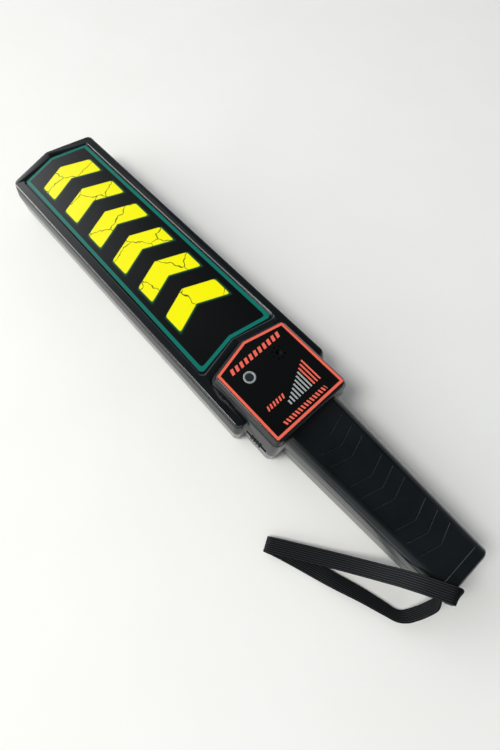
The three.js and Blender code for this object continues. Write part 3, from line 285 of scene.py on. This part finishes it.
relief = add_node(tree, "ShaderNodeBump",
                  {"Strength": 0.12, "Distance": 0.00005, "Height": grain, "Normal": rounded})
close_material(tree, {"Base Color": abs_colour, "Roughness": gloss, "IOR": 1.53,
                      "Normal": relief})


def merged_copy(node, name, material):
    """Copies a CAD piece as one clean skin and leaves it in edit mode with nothing selected."""
    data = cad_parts[node].data.copy()
    data.name = name
    data.materials.clear()
    data.materials.append(material)
    piece = bpy.data.objects.new(name, data)
    scene.collection.objects.link(piece)
    bpy.ops.object.select_all(action="DESELECT")
    piece.select_set(True)
    bpy.context.view_layer.objects.active = piece
    bpy.ops.object.mode_set(mode="EDIT")
    bpy.ops.mesh.select_mode(type="EDGE")
    bpy.ops.mesh.select_all(action="SELECT")
    bpy.ops.mesh.remove_doubles(threshold=0.000001)
    bpy.ops.mesh.select_all(action="DESELECT")
    return piece


def round_edges(piece, chosen, width, segments=3):
    """Rounds the sharp edges of a piece that have both ends at chosen points."""
    mesh = bmesh.from_edit_mesh(piece.data)
    for edge in mesh.edges:
        sharp = len(edge.link_faces) == 2 and edge.calc_face_angle() > math.radians(25)
        edge.select_set(sharp and all(chosen(vertex.co) for vertex in edge.verts))
    mesh.select_flush_mode()
    bmesh.update_edit_mesh(piece.data)
    bpy.ops.mesh.bevel(offset=width, segments=segments, profile=0.5, affect="EDGES",
                       clamp_overlap=False)
    bpy.ops.mesh.select_all(action="DESELECT")


def finish_copy(piece, node, body):
    """Shades a copy and lets it stand for its CAD piece."""
    bpy.ops.object.mode_set(mode="OBJECT")
    bpy.ops.object.shade_smooth_by_angle(angle=math.radians(28))
    flat = piece.modifiers.new("flat_faces", "WEIGHTED_NORMAL")
    flat.weight = 100
    flat.keep_sharp = True
    bpy.ops.object.modifier_apply(modifier=flat.name)
    piece.select_set(False)
    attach(piece, body)
    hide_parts(node)


# Heights, and stretches along the wand and aside of it, in which the edges to be rounded lie.
tolerance = 0.00001
tray_floor = 0.0288
rim_height = 0.0304
grip_height = 0.0328
tray_half_width = (0.0295, 0.0335)
tray_side_end = 0.028
tray_rear = (0.0155, 0.0209)
tray_rear_sweep = 0.2252
nose_wall = (-0.202, -0.187)
nose_wall_sweep = 0.2553
nose_wall_half_width = 0.031
groove_stretch = (0.096, 0.19)
groove_half_width = 0.0135
seam_limit = 0.1985
tray_rounding = 0.0005
groove_rounding = 0.00018
seam_rounding = 0.0004


def on_nose_wall(point):
    return (nose_wall[0] + nose_wall_sweep * abs(point.y) < point.x < nose_wall[1]
            and abs(point.y) < nose_wall_half_width)


def on_tray_side(point):
    return (abs(point.z - rim_height) < tolerance and point.x < tray_side_end
            and tray_half_width[0] < abs(point.y) < tray_half_width[1])


def on_tray_rear(point):
    return (abs(point.z - rim_height) < tolerance and abs(point.y) < tray_half_width[1]
            and tray_rear[0] < point.x < tray_rear[1] + tray_rear_sweep * abs(point.y))


def on_groove(point):
    return (abs(point.z - grip_height) < tolerance and abs(point.y) < groove_half_width
            and groove_stretch[0] < point.x < groove_stretch[1])


# The front wall of the tray stands a little closer to the film, so that its gap reads thinner.
upper = merged_copy("upper_shell", "upper_housing", black_abs)
for lowest, shift in ((tray_floor, 0.0008), (rim_height, 0.0004)):
    mesh = bmesh.from_edit_mesh(upper.data)
    for vertex in mesh.verts:
        vertex.select_set(on_nose_wall(vertex.co) and vertex.co.z > lowest - 10 * tolerance)
    mesh.select_flush(True)
    bmesh.update_edit_mesh(upper.data)
    bpy.ops.transform.translate(value=(shift, 0, 0))
    bpy.ops.mesh.select_all(action="DESELECT")
round_edges(upper, on_tray_side, tray_rounding, segments=1)
round_edges(upper, on_tray_rear, tray_rounding)
round_edges(upper, on_groove, groove_rounding, segments=1)
finish_copy(upper, "upper_shell", "housing")
lower = merged_copy("lower_shell", "lower_housing", black_abs)
finish_copy(lower, "lower_shell", "housing")

# The flats of the cap and the post are joined first, so that the edge along the seam is whole.
for node, name, body in (("battery_cap", "battery_cover", "battery_door"),
                         ("strap_anchor", "strap_post", "housing")):
    end_piece = merged_copy(node, name, black_abs)
    bpy.ops.mesh.select_all(action="SELECT")
    bpy.ops.mesh.dissolve_limited(angle_limit=math.radians(0.3))
    bpy.ops.mesh.select_all(action="DESELECT")
    round_edges(end_piece, lambda point: point.z > grip_height - tolerance
                and point.x < seam_limit, seam_rounding, segments=1)
    finish_copy(end_piece, node, body)


# Front label. A film of textured polycarbonate, screen printed from behind and glued into the
# tray: a teal line runs round it, and bold yellow chevrons with a green halo and fine cracks
# point along the paddle. The grain, drawn 0.6 mm wide so that it shows, spreads the sheen.
def dress(names, material):
    for name in names:
        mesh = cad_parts[name].data
        mesh.materials.clear()
        mesh.materials.append(material)


def combined(tree, values, operation):
    """Joins values with one operation, such as the least of them all."""
    result = values[0]
    for value in values[1:]:
        result = add_node(tree, "ShaderNodeMath", {0: result, 1: value}, operation=operation)
    return result


def folded_plan(tree):
    """Object coordinates, and the plan with one half of the wand folded on the other."""
    place = add_node(tree, "ShaderNodeTexCoord", out=3)
    axes = add_node(tree, "ShaderNodeSeparateXYZ", {0: place}, out=None)
    aside = add_node(tree, "ShaderNodeMath", {0: axes.outputs[1]}, operation="ABSOLUTE")
    folded = add_node(tree, "ShaderNodeCombineXYZ", {0: axes.outputs[0], 1: aside, 2: 1.0})
    return place, folded


def edge_distances(tree, folded, corners):
    """Distances inward from the edges of an outline, whose corners go round one half."""
    distances = []
    for start, end in zip(corners, corners[1:]):
        run = math.dist(start, end)
        across, along = (end[1] - start[1]) / run, (start[0] - end[0]) / run
        factors = (across, along, -across * start[0] - along * start[1])
        distances.append(add_node(tree, "ShaderNodeVectorMath", {0: folded, 1: factors}, out=1,
                                  operation="DOT_PRODUCT"))
    return distances


def printed_black(tree, place, grain_width, light):
    """The grain of a film and its black ground, flecked with a lighter black."""
    grain = add_node(tree, "ShaderNodeTexNoise",
                     {"Vector": place, "Scale": 1 / grain_width, "Detail": 2.0,
                      "Roughness": 0.7})
    speck = add_node(tree, "ShaderNodeMapRange",
                     {"Value": grain, "From Min": 0.35, "From Max": 0.75})
    ground = add_node(tree, "ShaderNodeMixRGB",
                      {"Fac": speck, "Color1": linear("020303"), "Color2": linear(light)})
    return grain, ground


label_corners = [(-0.1981, 0), (-0.1906, 0.0288), (0.0251, 0.0308), (0.0193, 0)]
label_line_width = 0.0025
label_corner_radius = 0.0042
print_black, tree = new_material("screen_printed_polycarbonate_film")
place, folded = folded_plan(tree)
nose_edge, side_edge, rear_edge = edge_distances(tree, folded, label_corners)
inside = combined(tree, [nose_edge, side_edge], "MINIMUM")
inside = add_node(tree, "ShaderNodeMath", {0: inside, 1: rear_edge, 2: label_corner_radius},
                  operation="SMOOTH_MIN")
teal_line = add_node(tree, "ShaderNodeMapRange",
                     {"Value": inside, "From Min": label_line_width - 0.0002,
                      "From Max": label_line_width + 0.0003, "To Min": 1.0, "To Max": 0.0})

# The chevrons repeat along the paddle. The lean is how far an arm falls back for each metre
# aside, and the row is cut in the gaps before the first one and after the last.
chevron_pitch = 0.0305
chevron_bar = 0.0160
chevron_lean = 0.42
chevron_start = -0.1845
chevron_count = 6
chevron_half_width = 0.0222
chevron_radius = 0.0030
halo_width = 0.0017
row_start = -0.006
row_end = row_start + chevron_pitch * chevron_count
travel = add_node(tree, "ShaderNodeVectorMath",
                  {0: folded, 1: (1, -chevron_lean, -chevron_start)}, out=1,
                  operation="DOT_PRODUCT")
phase = add_node(tree, "ShaderNodeMath", {0: travel, 1: chevron_pitch, 2: 0.0},
                 operation="WRAP")
offset = add_node(tree, "ShaderNodeMath", {0: phase, 1: chevron_bar / 2}, operation="SUBTRACT")
offset = add_node(tree, "ShaderNodeMath", {0: offset}, operation="ABSOLUTE")
bar = add_node(tree, "ShaderNodeMath", {0: chevron_bar / 2, 1: offset}, operation="SUBTRACT")
bar = add_node(tree, "ShaderNodeMath", {0: bar, 1: 1 / math.hypot(1, chevron_lean)},
               operation="MULTIPLY")
tips = add_node(tree, "ShaderNodeVectorMath", {0: folded, 1: (0, -1, chevron_half_width)},
                out=1, operation="DOT_PRODUCT")
motif = add_node(tree, "ShaderNodeMath", {0: bar, 1: tips, 2: chevron_radius},
                 operation="SMOOTH_MIN")
after_start = add_node(tree, "ShaderNodeMath", {0: travel, 1: row_start},
                       operation="GREATER_THAN")
before_end = add_node(tree, "ShaderNodeMath", {0: travel, 1: row_end}, operation="LESS_THAN")
halo = add_node(tree, "ShaderNodeMapRange",
                {"Value": motif, "From Min": -halo_width, "From Max": -0.0003})
halo = combined(tree, [halo, after_start, before_end], "MULTIPLY")
ink = add_node(tree, "ShaderNodeMapRange",
               {"Value": motif, "From Min": -0.0002, "From Max": 0.0004})
ink = combined(tree, [ink, after_start, before_end], "MULTIPLY")

# Cracks in the yellow ink run between cells of about 27 mm and wander on their way.
crack_cell = 1 / 37
wander_width = 1 / 170
wander_reach = 0.006
wander = add_node(tree, "ShaderNodeTexNoise",
                  {"Vector": place, "Scale": 1 / wander_width, "Detail": 1.0}, out=1)
bent = add_node(tree, "ShaderNodeVectorMath", {0: wander, 1: (wander_reach, wander_reach, 0)},
                operation="MULTIPLY")
bent = add_node(tree, "ShaderNodeVectorMath", {0: place, 1: bent}, operation="ADD")
crack = add_node(tree, "ShaderNodeTexVoronoi", {"Vector": bent, "Scale": 1 / crack_cell},
                 feature="DISTANCE_TO_EDGE", voronoi_dimensions="2D")
crack = add_node(tree, "ShaderNodeMapRange",
                 {"Value": crack, "From Min": 0.006, "From Max": 0.016, "To Min": 1.0,
                  "To Max": 0.0})
yellow = add_node(tree, "ShaderNodeMixRGB",
                  {"Fac": crack, "Color1": linear("fdf800"), "Color2": linear("5a6210")})
grain, paint = printed_black(tree, place, grain_width=1 / 1700, light="090c0e")
for ink_share, colour in ((halo, linear("075038")), (ink, yellow), (teal_line, linear("0c7468"))):
    paint = add_node(tree, "ShaderNodeMixRGB",
                     {"Fac": ink_share, "Color1": paint, "Color2": colour})
matt = add_node(tree, "ShaderNodeMapRange",
                {"Value": grain, "From Min": 0.3, "From Max": 0.7, "To Min": 0.16,
                 "To Max": 0.24})
relief = add_node(tree, "ShaderNodeBump",
                  {"Strength": 0.3, "Distance": 0.00008, "Height": grain})
close_material(tree, {"Base Color": paint, "Roughness": matt, "IOR": 1.49, "Normal": relief})
dress(["front_label"], print_black)

# Control label. The same printed film on top of the block, with a finer grain, drawn 0.4 mm
# wide, so it is the deepest black of the wand. A sharp coral line runs round it, with coral
# scales and a bar meter inside.
panel_corners = [(0.0298, 0), (0.0361, 0.0276), (0.0889, 0.0276), (0.0889, 0)]
panel_line_width = 0.0017
print_panel, tree = new_material("screen_printed_control_film")
place, folded = folded_plan(tree)
inside = combined(tree, edge_distances(tree, folded, panel_corners), "MINIMUM")
outer = add_node(tree, "ShaderNodeMath", {0: inside, 1: 0.0}, operation="GREATER_THAN")
inner = add_node(tree, "ShaderNodeMath", {0: inside, 1: panel_line_width},
                 operation="LESS_THAN")
border = combined(tree, [outer, inner], "MULTIPLY")


def bar_row(lean, aside, along, pitch=None, bar_share=None):
    """Ink between two places aside and two along the wand, all of it or in bars that lean."""
    across = add_node(tree, "ShaderNodeVectorMath", {0: place, 1: (lean, 1, 0)}, out=1,
                      operation="DOT_PRODUCT")
    length = add_node(tree, "ShaderNodeSeparateXYZ", {0: place}, out=0)
    tests = [(across, "GREATER_THAN", aside[0]), (across, "LESS_THAN", aside[1]),
             (length, "GREATER_THAN", along[0]), (length, "LESS_THAN", along[1])]
    if pitch:
        turn = add_node(tree, "ShaderNodeMath", {0: across, 1: pitch, 2: 0.0}, operation="WRAP")
        tests.append((turn, "LESS_THAN", pitch * bar_share))
    results = [add_node(tree, "ShaderNodeMath", {0: value, 1: limit}, operation=operation)
               for value, operation, limit in tests]
    return combined(tree, results, "MULTIPLY")


rows = [bar_row(lean=0.3, aside=(-0.0083, 0.0335), along=(0.0385, 0.0424), pitch=0.0038,
                bar_share=0.58),
        bar_row(lean=-0.25, aside=(-0.0385, -0.0043), along=(0.0828, 0.0857), pitch=0.0024,
                bar_share=0.52),
        bar_row(lean=0.3, aside=(0.0025, 0.0160), along=(0.0700, 0.0730), pitch=0.0024,
                bar_share=0.52)]

# The meter's columns stand side by side on one foot and grow towards the far side. The last
# three are coral.
meter_foot = 0.0785
meter_start = -0.0065
meter_pitch = 0.0024
column_width = 0.0011
column_height = 0.0030
column_growth = 0.0013
column_count = 11
coral_count = 3
columns = []
for step in range(column_count):
    start = meter_start + step * meter_pitch
    top = meter_foot - column_height - column_growth * step
    columns.append(bar_row(lean=0, aside=(start, start + column_width),
                           along=(top, meter_foot)))
pale = combined(tree, columns[:-coral_count], "MAXIMUM")
coral = combined(tree, [border] + rows + columns[-coral_count:], "MAXIMUM")
grain, paint = printed_black(tree, place, grain_width=1 / 2300, light="07090b")
for ink_share, colour in ((pale, linear("a4aaaa")), (coral, linear("ee6a57"))):
    paint = add_node(tree, "ShaderNodeMixRGB",
                     {"Fac": ink_share, "Color1": paint, "Color2": colour})
relief = add_node(tree, "ShaderNodeBump",
                  {"Strength": 0.3, "Distance": 0.00005, "Height": grain})
close_material(tree, {"Base Color": paint, "Roughness": 0.24, "IOR": 1.49, "Normal": relief})
dress(["control_label"], print_panel)


# Lamp window. A flanged cup of clear polycarbonate, moulded and pressed into the roof from
# inside. Its colour is painted light and shade: its thick wall is painted pale for the light that
# it pipes, and its thin window is painted dark for the shade of the inside seen through it.
def pick_faces(piece, chosen):
    mesh = bmesh.from_edit_mesh(piece.data)
    for face in mesh.faces:
        face.select_set(chosen(face))
    mesh.select_flush_mode()
    bmesh.update_edit_mesh(piece.data)


lens_x = 0.04975
lens_y = -0.0131
lens_foot = 0.0369
flange_radius = 0.0053
flange_width = 0.0013
flange_thickness = 0.001
tube_height = 0.0030
tube_wall = 0.0012
window_drop = 0.0006
bore_depth = 0.0022
bore_radius = flange_radius - flange_width - tube_wall
lens_top = lens_foot + flange_thickness + tube_height
bpy.ops.object.select_all(action="DESELECT")
bpy.ops.mesh.primitive_cylinder_add(vertices=64, radius=flange_radius, depth=flange_thickness,
                                    location=(lens_x, lens_y, lens_foot + flange_thickness / 2))
lens = bpy.context.object
lens.name = lens.data.name = "lamp_window"
bpy.ops.object.transform_apply(location=True, rotation=False, scale=False)
bpy.ops.object.mode_set(mode="EDIT")
bpy.ops.mesh.select_mode(type="FACE")
pick_faces(lens, lambda face: face.normal.z > 0.9)
bpy.ops.mesh.inset(thickness=flange_width)
bpy.ops.mesh.extrude_region_move(TRANSFORM_OT_translate={"value": (0, 0, tube_height)})
bpy.ops.mesh.inset(thickness=tube_wall)
bpy.ops.mesh.extrude_region_move(TRANSFORM_OT_translate={"value": (0, 0, -window_drop)})
# Two rings raise the window to a slight dome.
for ring_width, rise in ((0.0008, 0.0001), (0.0010, 0.00006)):
    bpy.ops.mesh.inset(thickness=ring_width, depth=rise)
pick_faces(lens, lambda face: face.normal.z < -0.9)
bpy.ops.mesh.inset(thickness=flange_radius - bore_radius)
bpy.ops.mesh.extrude_region_move(TRANSFORM_OT_translate={"value": (0, 0, bore_depth)})
bpy.ops.mesh.select_mode(type="EDGE")
bpy.ops.mesh.select_all(action="DESELECT")
round_edges(lens, lambda point: point.z > lens_top - 5 * tolerance, 0.0003)
bpy.ops.object.mode_set(mode="OBJECT")
bpy.ops.object.shade_smooth_by_angle(angle=math.radians(32))
swirl_width = 1 / 900
clear_wall, tree = new_material("moulded_clear_polycarbonate")
place = add_node(tree, "ShaderNodeTexCoord", out=3)
from_axis = add_node(tree, "ShaderNodeVectorMath", {0: place, 1: (1, 1, 0)},
                     operation="MULTIPLY")
from_axis = add_node(tree, "ShaderNodeVectorMath", {0: from_axis, 1: (lens_x, lens_y, 0)},
                     out=1, operation="DISTANCE")
# Painted light and shade by the distance from the axis: pale on the wall, dark in the window.
lit_wall_share = add_node(tree, "ShaderNodeMapRange",
                {"Value": from_axis, "From Min": 0.0025, "From Max": 0.0029})
swirl = add_node(tree, "ShaderNodeTexNoise",
                 {"Vector": place, "Scale": 1 / swirl_width, "Detail": 3.0, "Roughness": 0.6})
# The painted pale of the light that the wall pipes.
pale = add_node(tree, "ShaderNodeMixRGB",
                {"Fac": swirl, "Color1": linear("72787a"), "Color2": linear("a8adae")})
piped_light_and_inner_shade = add_node(tree, "ShaderNodeMixRGB",
                        {"Fac": lit_wall_share, "Color1": linear("26292b"), "Color2": pale})
relief = add_node(tree, "ShaderNodeBump",
                  {"Strength": 0.3, "Distance": 0.00004, "Height": swirl})
close_material(tree, {"Base Color": piped_light_and_inner_shade, "Roughness": 0.16, "IOR": 1.58,
                      "Normal": relief})
lens.data.materials.append(clear_wall)
lens.select_set(False)
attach(lens, "housing")
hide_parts("lamp_lens")

# Slide switch. Its knob is moulded in black nylon and stands in a slot of the flank. Its matt
# grain, drawn 0.7 mm wide so that it shows, makes it a deeper black than the housing round it.
nylon_grain_width = 1 / 1500
knob_face_y = -0.0330
matt_nylon, tree = new_material("moulded_nylon_matt_grain")
place = add_node(tree, "ShaderNodeTexCoord", out=3)
grain = add_node(tree, "ShaderNodeTexNoise",
                 {"Vector": place, "Scale": 1 / nylon_grain_width, "Detail": 3.0,
                  "Roughness": 0.7})
nylon_colour = add_node(tree, "ShaderNodeMixRGB",
                        {"Fac": grain, "Color1": linear("030304"), "Color2": linear("0b0c0d")})
relief = add_node(tree, "ShaderNodeBump",
                  {"Strength": 0.5, "Distance": 0.0001, "Height": grain})
close_material(tree, {"Base Color": nylon_colour, "Roughness": 0.62, "IOR": 1.53,
                      "Normal": relief})
knob = merged_copy("switch_knob", "switch_slider", matt_nylon)
round_edges(knob, lambda point: point.y < knob_face_y, 0.00012, segments=2)
finish_copy(knob, "switch_knob", "switch")


# Small parts: lamp, button, clamp, the parts on the board, screws and wires. Each finish is
# named for its material, and its colour, gloss and grain come from how its surface was made.
def plain_finish(name, dark, light, roughness, grain_width, grain_depth, metallic=0.0,
                 stretch=(1, 1, 1)):
    """A finish with grain of one width and depth in metres, between two colours."""
    material, tree = new_material(name)
    place = add_node(tree, "ShaderNodeTexCoord", out=3)
    place = add_node(tree, "ShaderNodeMapping", {"Vector": place, "Scale": stretch})
    grain = add_node(tree, "ShaderNodeTexNoise",
                     {"Vector": place, "Scale": 1 / grain_width, "Detail": 3.0,
                      "Roughness": 0.6})
    colour = add_node(tree, "ShaderNodeMixRGB",
                      {"Fac": grain, "Color1": linear(dark), "Color2": linear(light)})
    worn = add_node(tree, "ShaderNodeMapRange",
                    {"Value": grain, "From Min": 0.3, "From Max": 0.7,
                     "To Min": roughness - 0.05, "To Max": roughness + 0.05})
    relief = add_node(tree, "ShaderNodeBump",
                      {"Strength": 0.4, "Distance": grain_depth, "Height": grain})
    close_material(tree, {"Base Color": colour, "Roughness": worn, "Metallic": metallic,
                          "Normal": relief})
    return material


# Red epoxy is cast in a polished mould, so the lamp is glossy; the button is moulded ABS.
dress(["alarm_lamp"], plain_finish("cast_red_epoxy", "9c120c", "b81c14", 0.12, 0.002, 0.00001))
dress(["sensitivity_button"],
      plain_finish("moulded_red_abs", "a51c14", "c02a20", 0.28, 0.0004, 0.00003))
# Glass-filled nylon has a dull skin with short streaks of the melt, and the clamp a pressed one.
dress(["sounder", "push_switch", "detector_chip", "battery_snap", "filter_capacitor"],
      plain_finish("glass_filled_black_nylon", "101112", "1d1e20", 0.5, 0.0009, 0.00004,
                   stretch=(0.4, 1, 1)))
dress(["strap_clamp"],
      plain_finish("heat_pressed_black_nylon", "060607", "101113", 0.36, 0.0011, 0.00008))
# Unfilled nylon takes any colour and is a little glossier.
dress(["trim_pot"], plain_finish("moulded_blue_nylon", "1f4a94", "2c5aa8", 0.4, 0.001, 0.00003))
dress(["coil_former"],
      plain_finish("moulded_natural_nylon", "c2bba8", "d4cebe", 0.46, 0.0016, 0.00004))
# Zinc plating is bright with a faint cloud from the barrel in which the screws tumbled.
dress(["switch_case", "vibration_motor"] + [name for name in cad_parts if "screw" in name],
      plain_finish("zinc_plated_steel", "9a9da0", "c8cbce", 0.3, 0.0008, 0.00002, metallic=1.0))
# Extruded PVC sleeve is smooth with a soft shine and slight dents along the wire.
dress(["coil_lead_left", "battery_lead_red"],
      plain_finish("red_pvc_sleeve", "8e1c16", "b02a22", 0.42, 0.0022, 0.00005))
dress(["coil_lead_right", "battery_lead_black"],
      plain_finish("black_pvc_sleeve", "0d0d0e", "1a1a1c", 0.42, 0.0022, 0.00005))

# Circuit board. Glass epoxy under a green solder mask: the copper tracks below the mask show
# as lighter lines 0.4 mm wide on a 2.54 mm raster, which stand out a little.
raster = 0.00254
track_width = 0.0004
weave_width = 1 / 1400
solder_mask, tree = new_material("green_solder_mask_on_glass_epoxy")
place = add_node(tree, "ShaderNodeTexCoord", out=3)
tracks = add_node(tree, "ShaderNodeTexBrick",
                  {"Vector": place, "Scale": 1.0, "Mortar Size": track_width / 2,
                   "Mortar Smooth": 0.2, "Brick Width": 4 * raster, "Row Height": raster,
                   "Color1": (0, 0, 0, 1), "Color2": (0.12, 0.12, 0.12, 1),
                   "Mortar": (1, 1, 1, 1)})
weave = add_node(tree, "ShaderNodeTexNoise",
                 {"Vector": place, "Scale": 1 / weave_width, "Detail": 2.0})
mask_colour = add_node(tree, "ShaderNodeMixRGB",
                       {"Fac": weave, "Color1": linear("0c3f20"), "Color2": linear("14522b")})
mask_colour = add_node(tree, "ShaderNodeMixRGB",
                       {"Fac": tracks, "Color1": mask_colour, "Color2": linear("2f7f45")})
relief = add_node(tree, "ShaderNodeBump",
                  {"Strength": 0.7, "Distance": 0.00004, "Height": tracks})
close_material(tree, {"Base Color": mask_colour, "Roughness": 0.3, "Normal": relief})
dress(["circuit_board"], solder_mask)

# Search coil. Enamelled copper wire of 0.3 mm, wound in flat turns on the former: glossy
# orange-brown streaks that run with the turns, drawn 0.6 mm wide so that they show.
turn_width = 1 / 1700
winding, tree = new_material("enamelled_copper_wire")
place = add_node(tree, "ShaderNodeTexCoord", out=3)
along_turns = add_node(tree, "ShaderNodeMapping", {"Vector": place, "Scale": (0.02, 1, 1)})
turns = add_node(tree, "ShaderNodeTexNoise",
                 {"Vector": along_turns, "Scale": 1 / turn_width, "Detail": 1.0})
wire_colour = add_node(tree, "ShaderNodeMixRGB",
                       {"Fac": turns, "Color1": linear("7c3513"), "Color2": linear("cf7434")})
relief = add_node(tree, "ShaderNodeBump",
                  {"Strength": 0.8, "Distance": 0.00012, "Height": turns})
close_material(tree, {"Base Color": wire_colour, "Roughness": 0.3, "Metallic": 1.0,
                      "Coat Weight": 0.4, "Coat Roughness": 0.15, "Normal": relief})
dress(["search_coil"], winding)

# Battery and its pad. A nine volt block in a plain printed plastic wrap, dark with a pale band
# at the terminals; under it a pad of closed cell foam with cells of about a millimetre.
band_end_x = 0.160
crease_width = 0.00625
wrap, tree = new_material("printed_plastic_wrap")
place = add_node(tree, "ShaderNodeTexCoord", out=3)
length_along = add_node(tree, "ShaderNodeSeparateXYZ", {0: place}, out=0)
pale_band = add_node(tree, "ShaderNodeMath", {0: length_along, 1: band_end_x},
                     operation="LESS_THAN")
crease = add_node(tree, "ShaderNodeTexNoise",
                  {"Vector": place, "Scale": 1 / crease_width, "Detail": 4.0})
wrap_colour = add_node(tree, "ShaderNodeMixRGB",
                       {"Fac": crease, "Color1": linear("15171a"), "Color2": linear("24272b")})
wrap_colour = add_node(tree, "ShaderNodeMixRGB",
                       {"Fac": pale_band, "Color1": wrap_colour, "Color2": linear("a9acae")})
relief = add_node(tree, "ShaderNodeBump",
                  {"Strength": 0.3, "Distance": 0.0001, "Height": crease})
close_material(tree, {"Base Color": wrap_colour, "Roughness": 0.26, "Normal": relief})
dress(["battery"], wrap)
cell_width = 0.001
foam, tree = new_material("closed_cell_foam")
place = add_node(tree, "ShaderNodeTexCoord", out=3)
cells = add_node(tree, "ShaderNodeTexVoronoi", {"Vector": place, "Scale": 1 / cell_width})
foam_colour = add_node(tree, "ShaderNodeMixRGB",
                       {"Fac": cells, "Color1": linear("33363a"), "Color2": linear("1a1c1e")})
relief = add_node(tree, "ShaderNodeBump",
                  {"Strength": 0.9, "Distance": 0.0003, "Height": cells})
close_material(tree, {"Base Color": foam_colour, "Roughness": 0.92, "Normal": relief})
dress(["battery_pad"], foam)

# Floor and light. A painted matt table, a low wide window off the nose on the near side, which
# draws thin bright lines along the near edges, and a soft round lamp high on the same side.
mottle_width = 1 / 14
bpy.ops.mesh.primitive_plane_add(size=6, location=(0, 0, 0))
floor = bpy.context.object
floor.name = "table_top"
pale_table, tree = new_material("painted_table_top")
place = add_node(tree, "ShaderNodeTexCoord", out=3)
mottle = add_node(tree, "ShaderNodeTexNoise",
                  {"Vector": place, "Scale": 1 / mottle_width, "Detail": 5.0})
tone = add_node(tree, "ShaderNodeMixRGB",
                {"Fac": mottle, "Color1": linear("f4f3f1"), "Color2": linear("fafaf9")})
close_material(tree, {"Base Color": tone, "Roughness": 0.9})
floor.data.materials.append(pale_table)
floor.select_set(False)

# Shape, place, length, height, watts and colour. Both face the wand's middle.
for shape, place, length, height, power, colour in (
        ("RECTANGLE", (-1.83, -1.70, 0.45), 4.5, 0.5, 52.5, "fffaf2"),
        ("DISK", (-0.32, -0.80, 1.35), 0.55, 0.55, 12.6, "fffdf8")):
    bpy.ops.object.light_add(type="AREA", location=place)
    lamp = bpy.context.object
    lamp.data.shape = shape
    lamp.data.size = length
    lamp.data.size_y = height
    lamp.data.energy = power
    lamp.data.color = linear(colour)[:3]
    lamp.rotation_euler = (-lamp.location).to_track_quat("-Z", "Y").to_euler()

# Room. Its walls are bright, most of all towards the nose, and it is dark overhead and high up
# beyond the wand, so that the black flats stay black. Behind the table the camera sees a plain
# pale backdrop.
room = bpy.data.worlds.new("room")
scene.world = room
room.use_nodes = True
tree = room.node_tree
tree.nodes.clear()
toward = add_node(tree, "ShaderNodeTexCoord", out=0)
height = add_node(tree, "ShaderNodeSeparateXYZ", {0: toward}, out=2)
walls = add_node(tree, "ShaderNodeValToRGB", {"Fac": height}, out=None)
# Height of a direction, from level to straight up, and how bright the room is there.
bands = [(0.0, 0.5), (0.25, 0.6), (0.45, 0.8), (0.6, 1.0), (0.68, 0.65), (0.76, 0.38),
         (0.84, 0.15), (0.92, 0.07), (0.97, 0.03), (1.0, 0.02)]
while len(walls.color_ramp.elements) < len(bands):
    walls.color_ramp.elements.new(0.5)
for stop, (position, brightness) in zip(walls.color_ramp.elements, bands):
    stop.position = position
    stop.color = (brightness, brightness, brightness, 1)
side = add_node(tree, "ShaderNodeVectorMath", {0: toward, 1: (-0.98, -0.18, 0)}, out=1,
                operation="DOT_PRODUCT")
side = add_node(tree, "ShaderNodeMapRange",
                {"Value": side, "From Min": -0.5, "From Max": 1.0, "To Min": 0.39, "To Max": 3.1})
beyond = add_node(tree, "ShaderNodeVectorMath", {0: toward, 1: (-0.4, 1, 0)}, out=1,
                  operation="DOT_PRODUCT")
beyond = add_node(tree, "ShaderNodeMapRange",
                  {"Value": beyond, "From Min": 0.57, "From Max": 0.43, "To Min": 0.05},
                  interpolation_type="SMOOTHSTEP")
low_down = add_node(tree, "ShaderNodeMapRange",
                    {"Value": height, "From Min": 0.6, "From Max": 0.45})
beyond = combined(tree, [beyond, low_down], "MAXIMUM")
glow = combined(tree, [side, walls.outputs[0], beyond], "MULTIPLY")
sky = add_node(tree, "ShaderNodeBackground", {"Color": linear("f0f4f6"), "Strength": glow})
backdrop = add_node(tree, "ShaderNodeBackground", {"Color": linear("eceeee")})
straight = add_node(tree, "ShaderNodeLightPath", out=0)
sky = add_node(tree, "ShaderNodeMixShader", {0: straight, 1: sky, 2: backdrop})
add_node(tree, "ShaderNodeOutputWorld", {"Surface": sky}, out=None)
scene.view_settings.view_transform = "Standard"
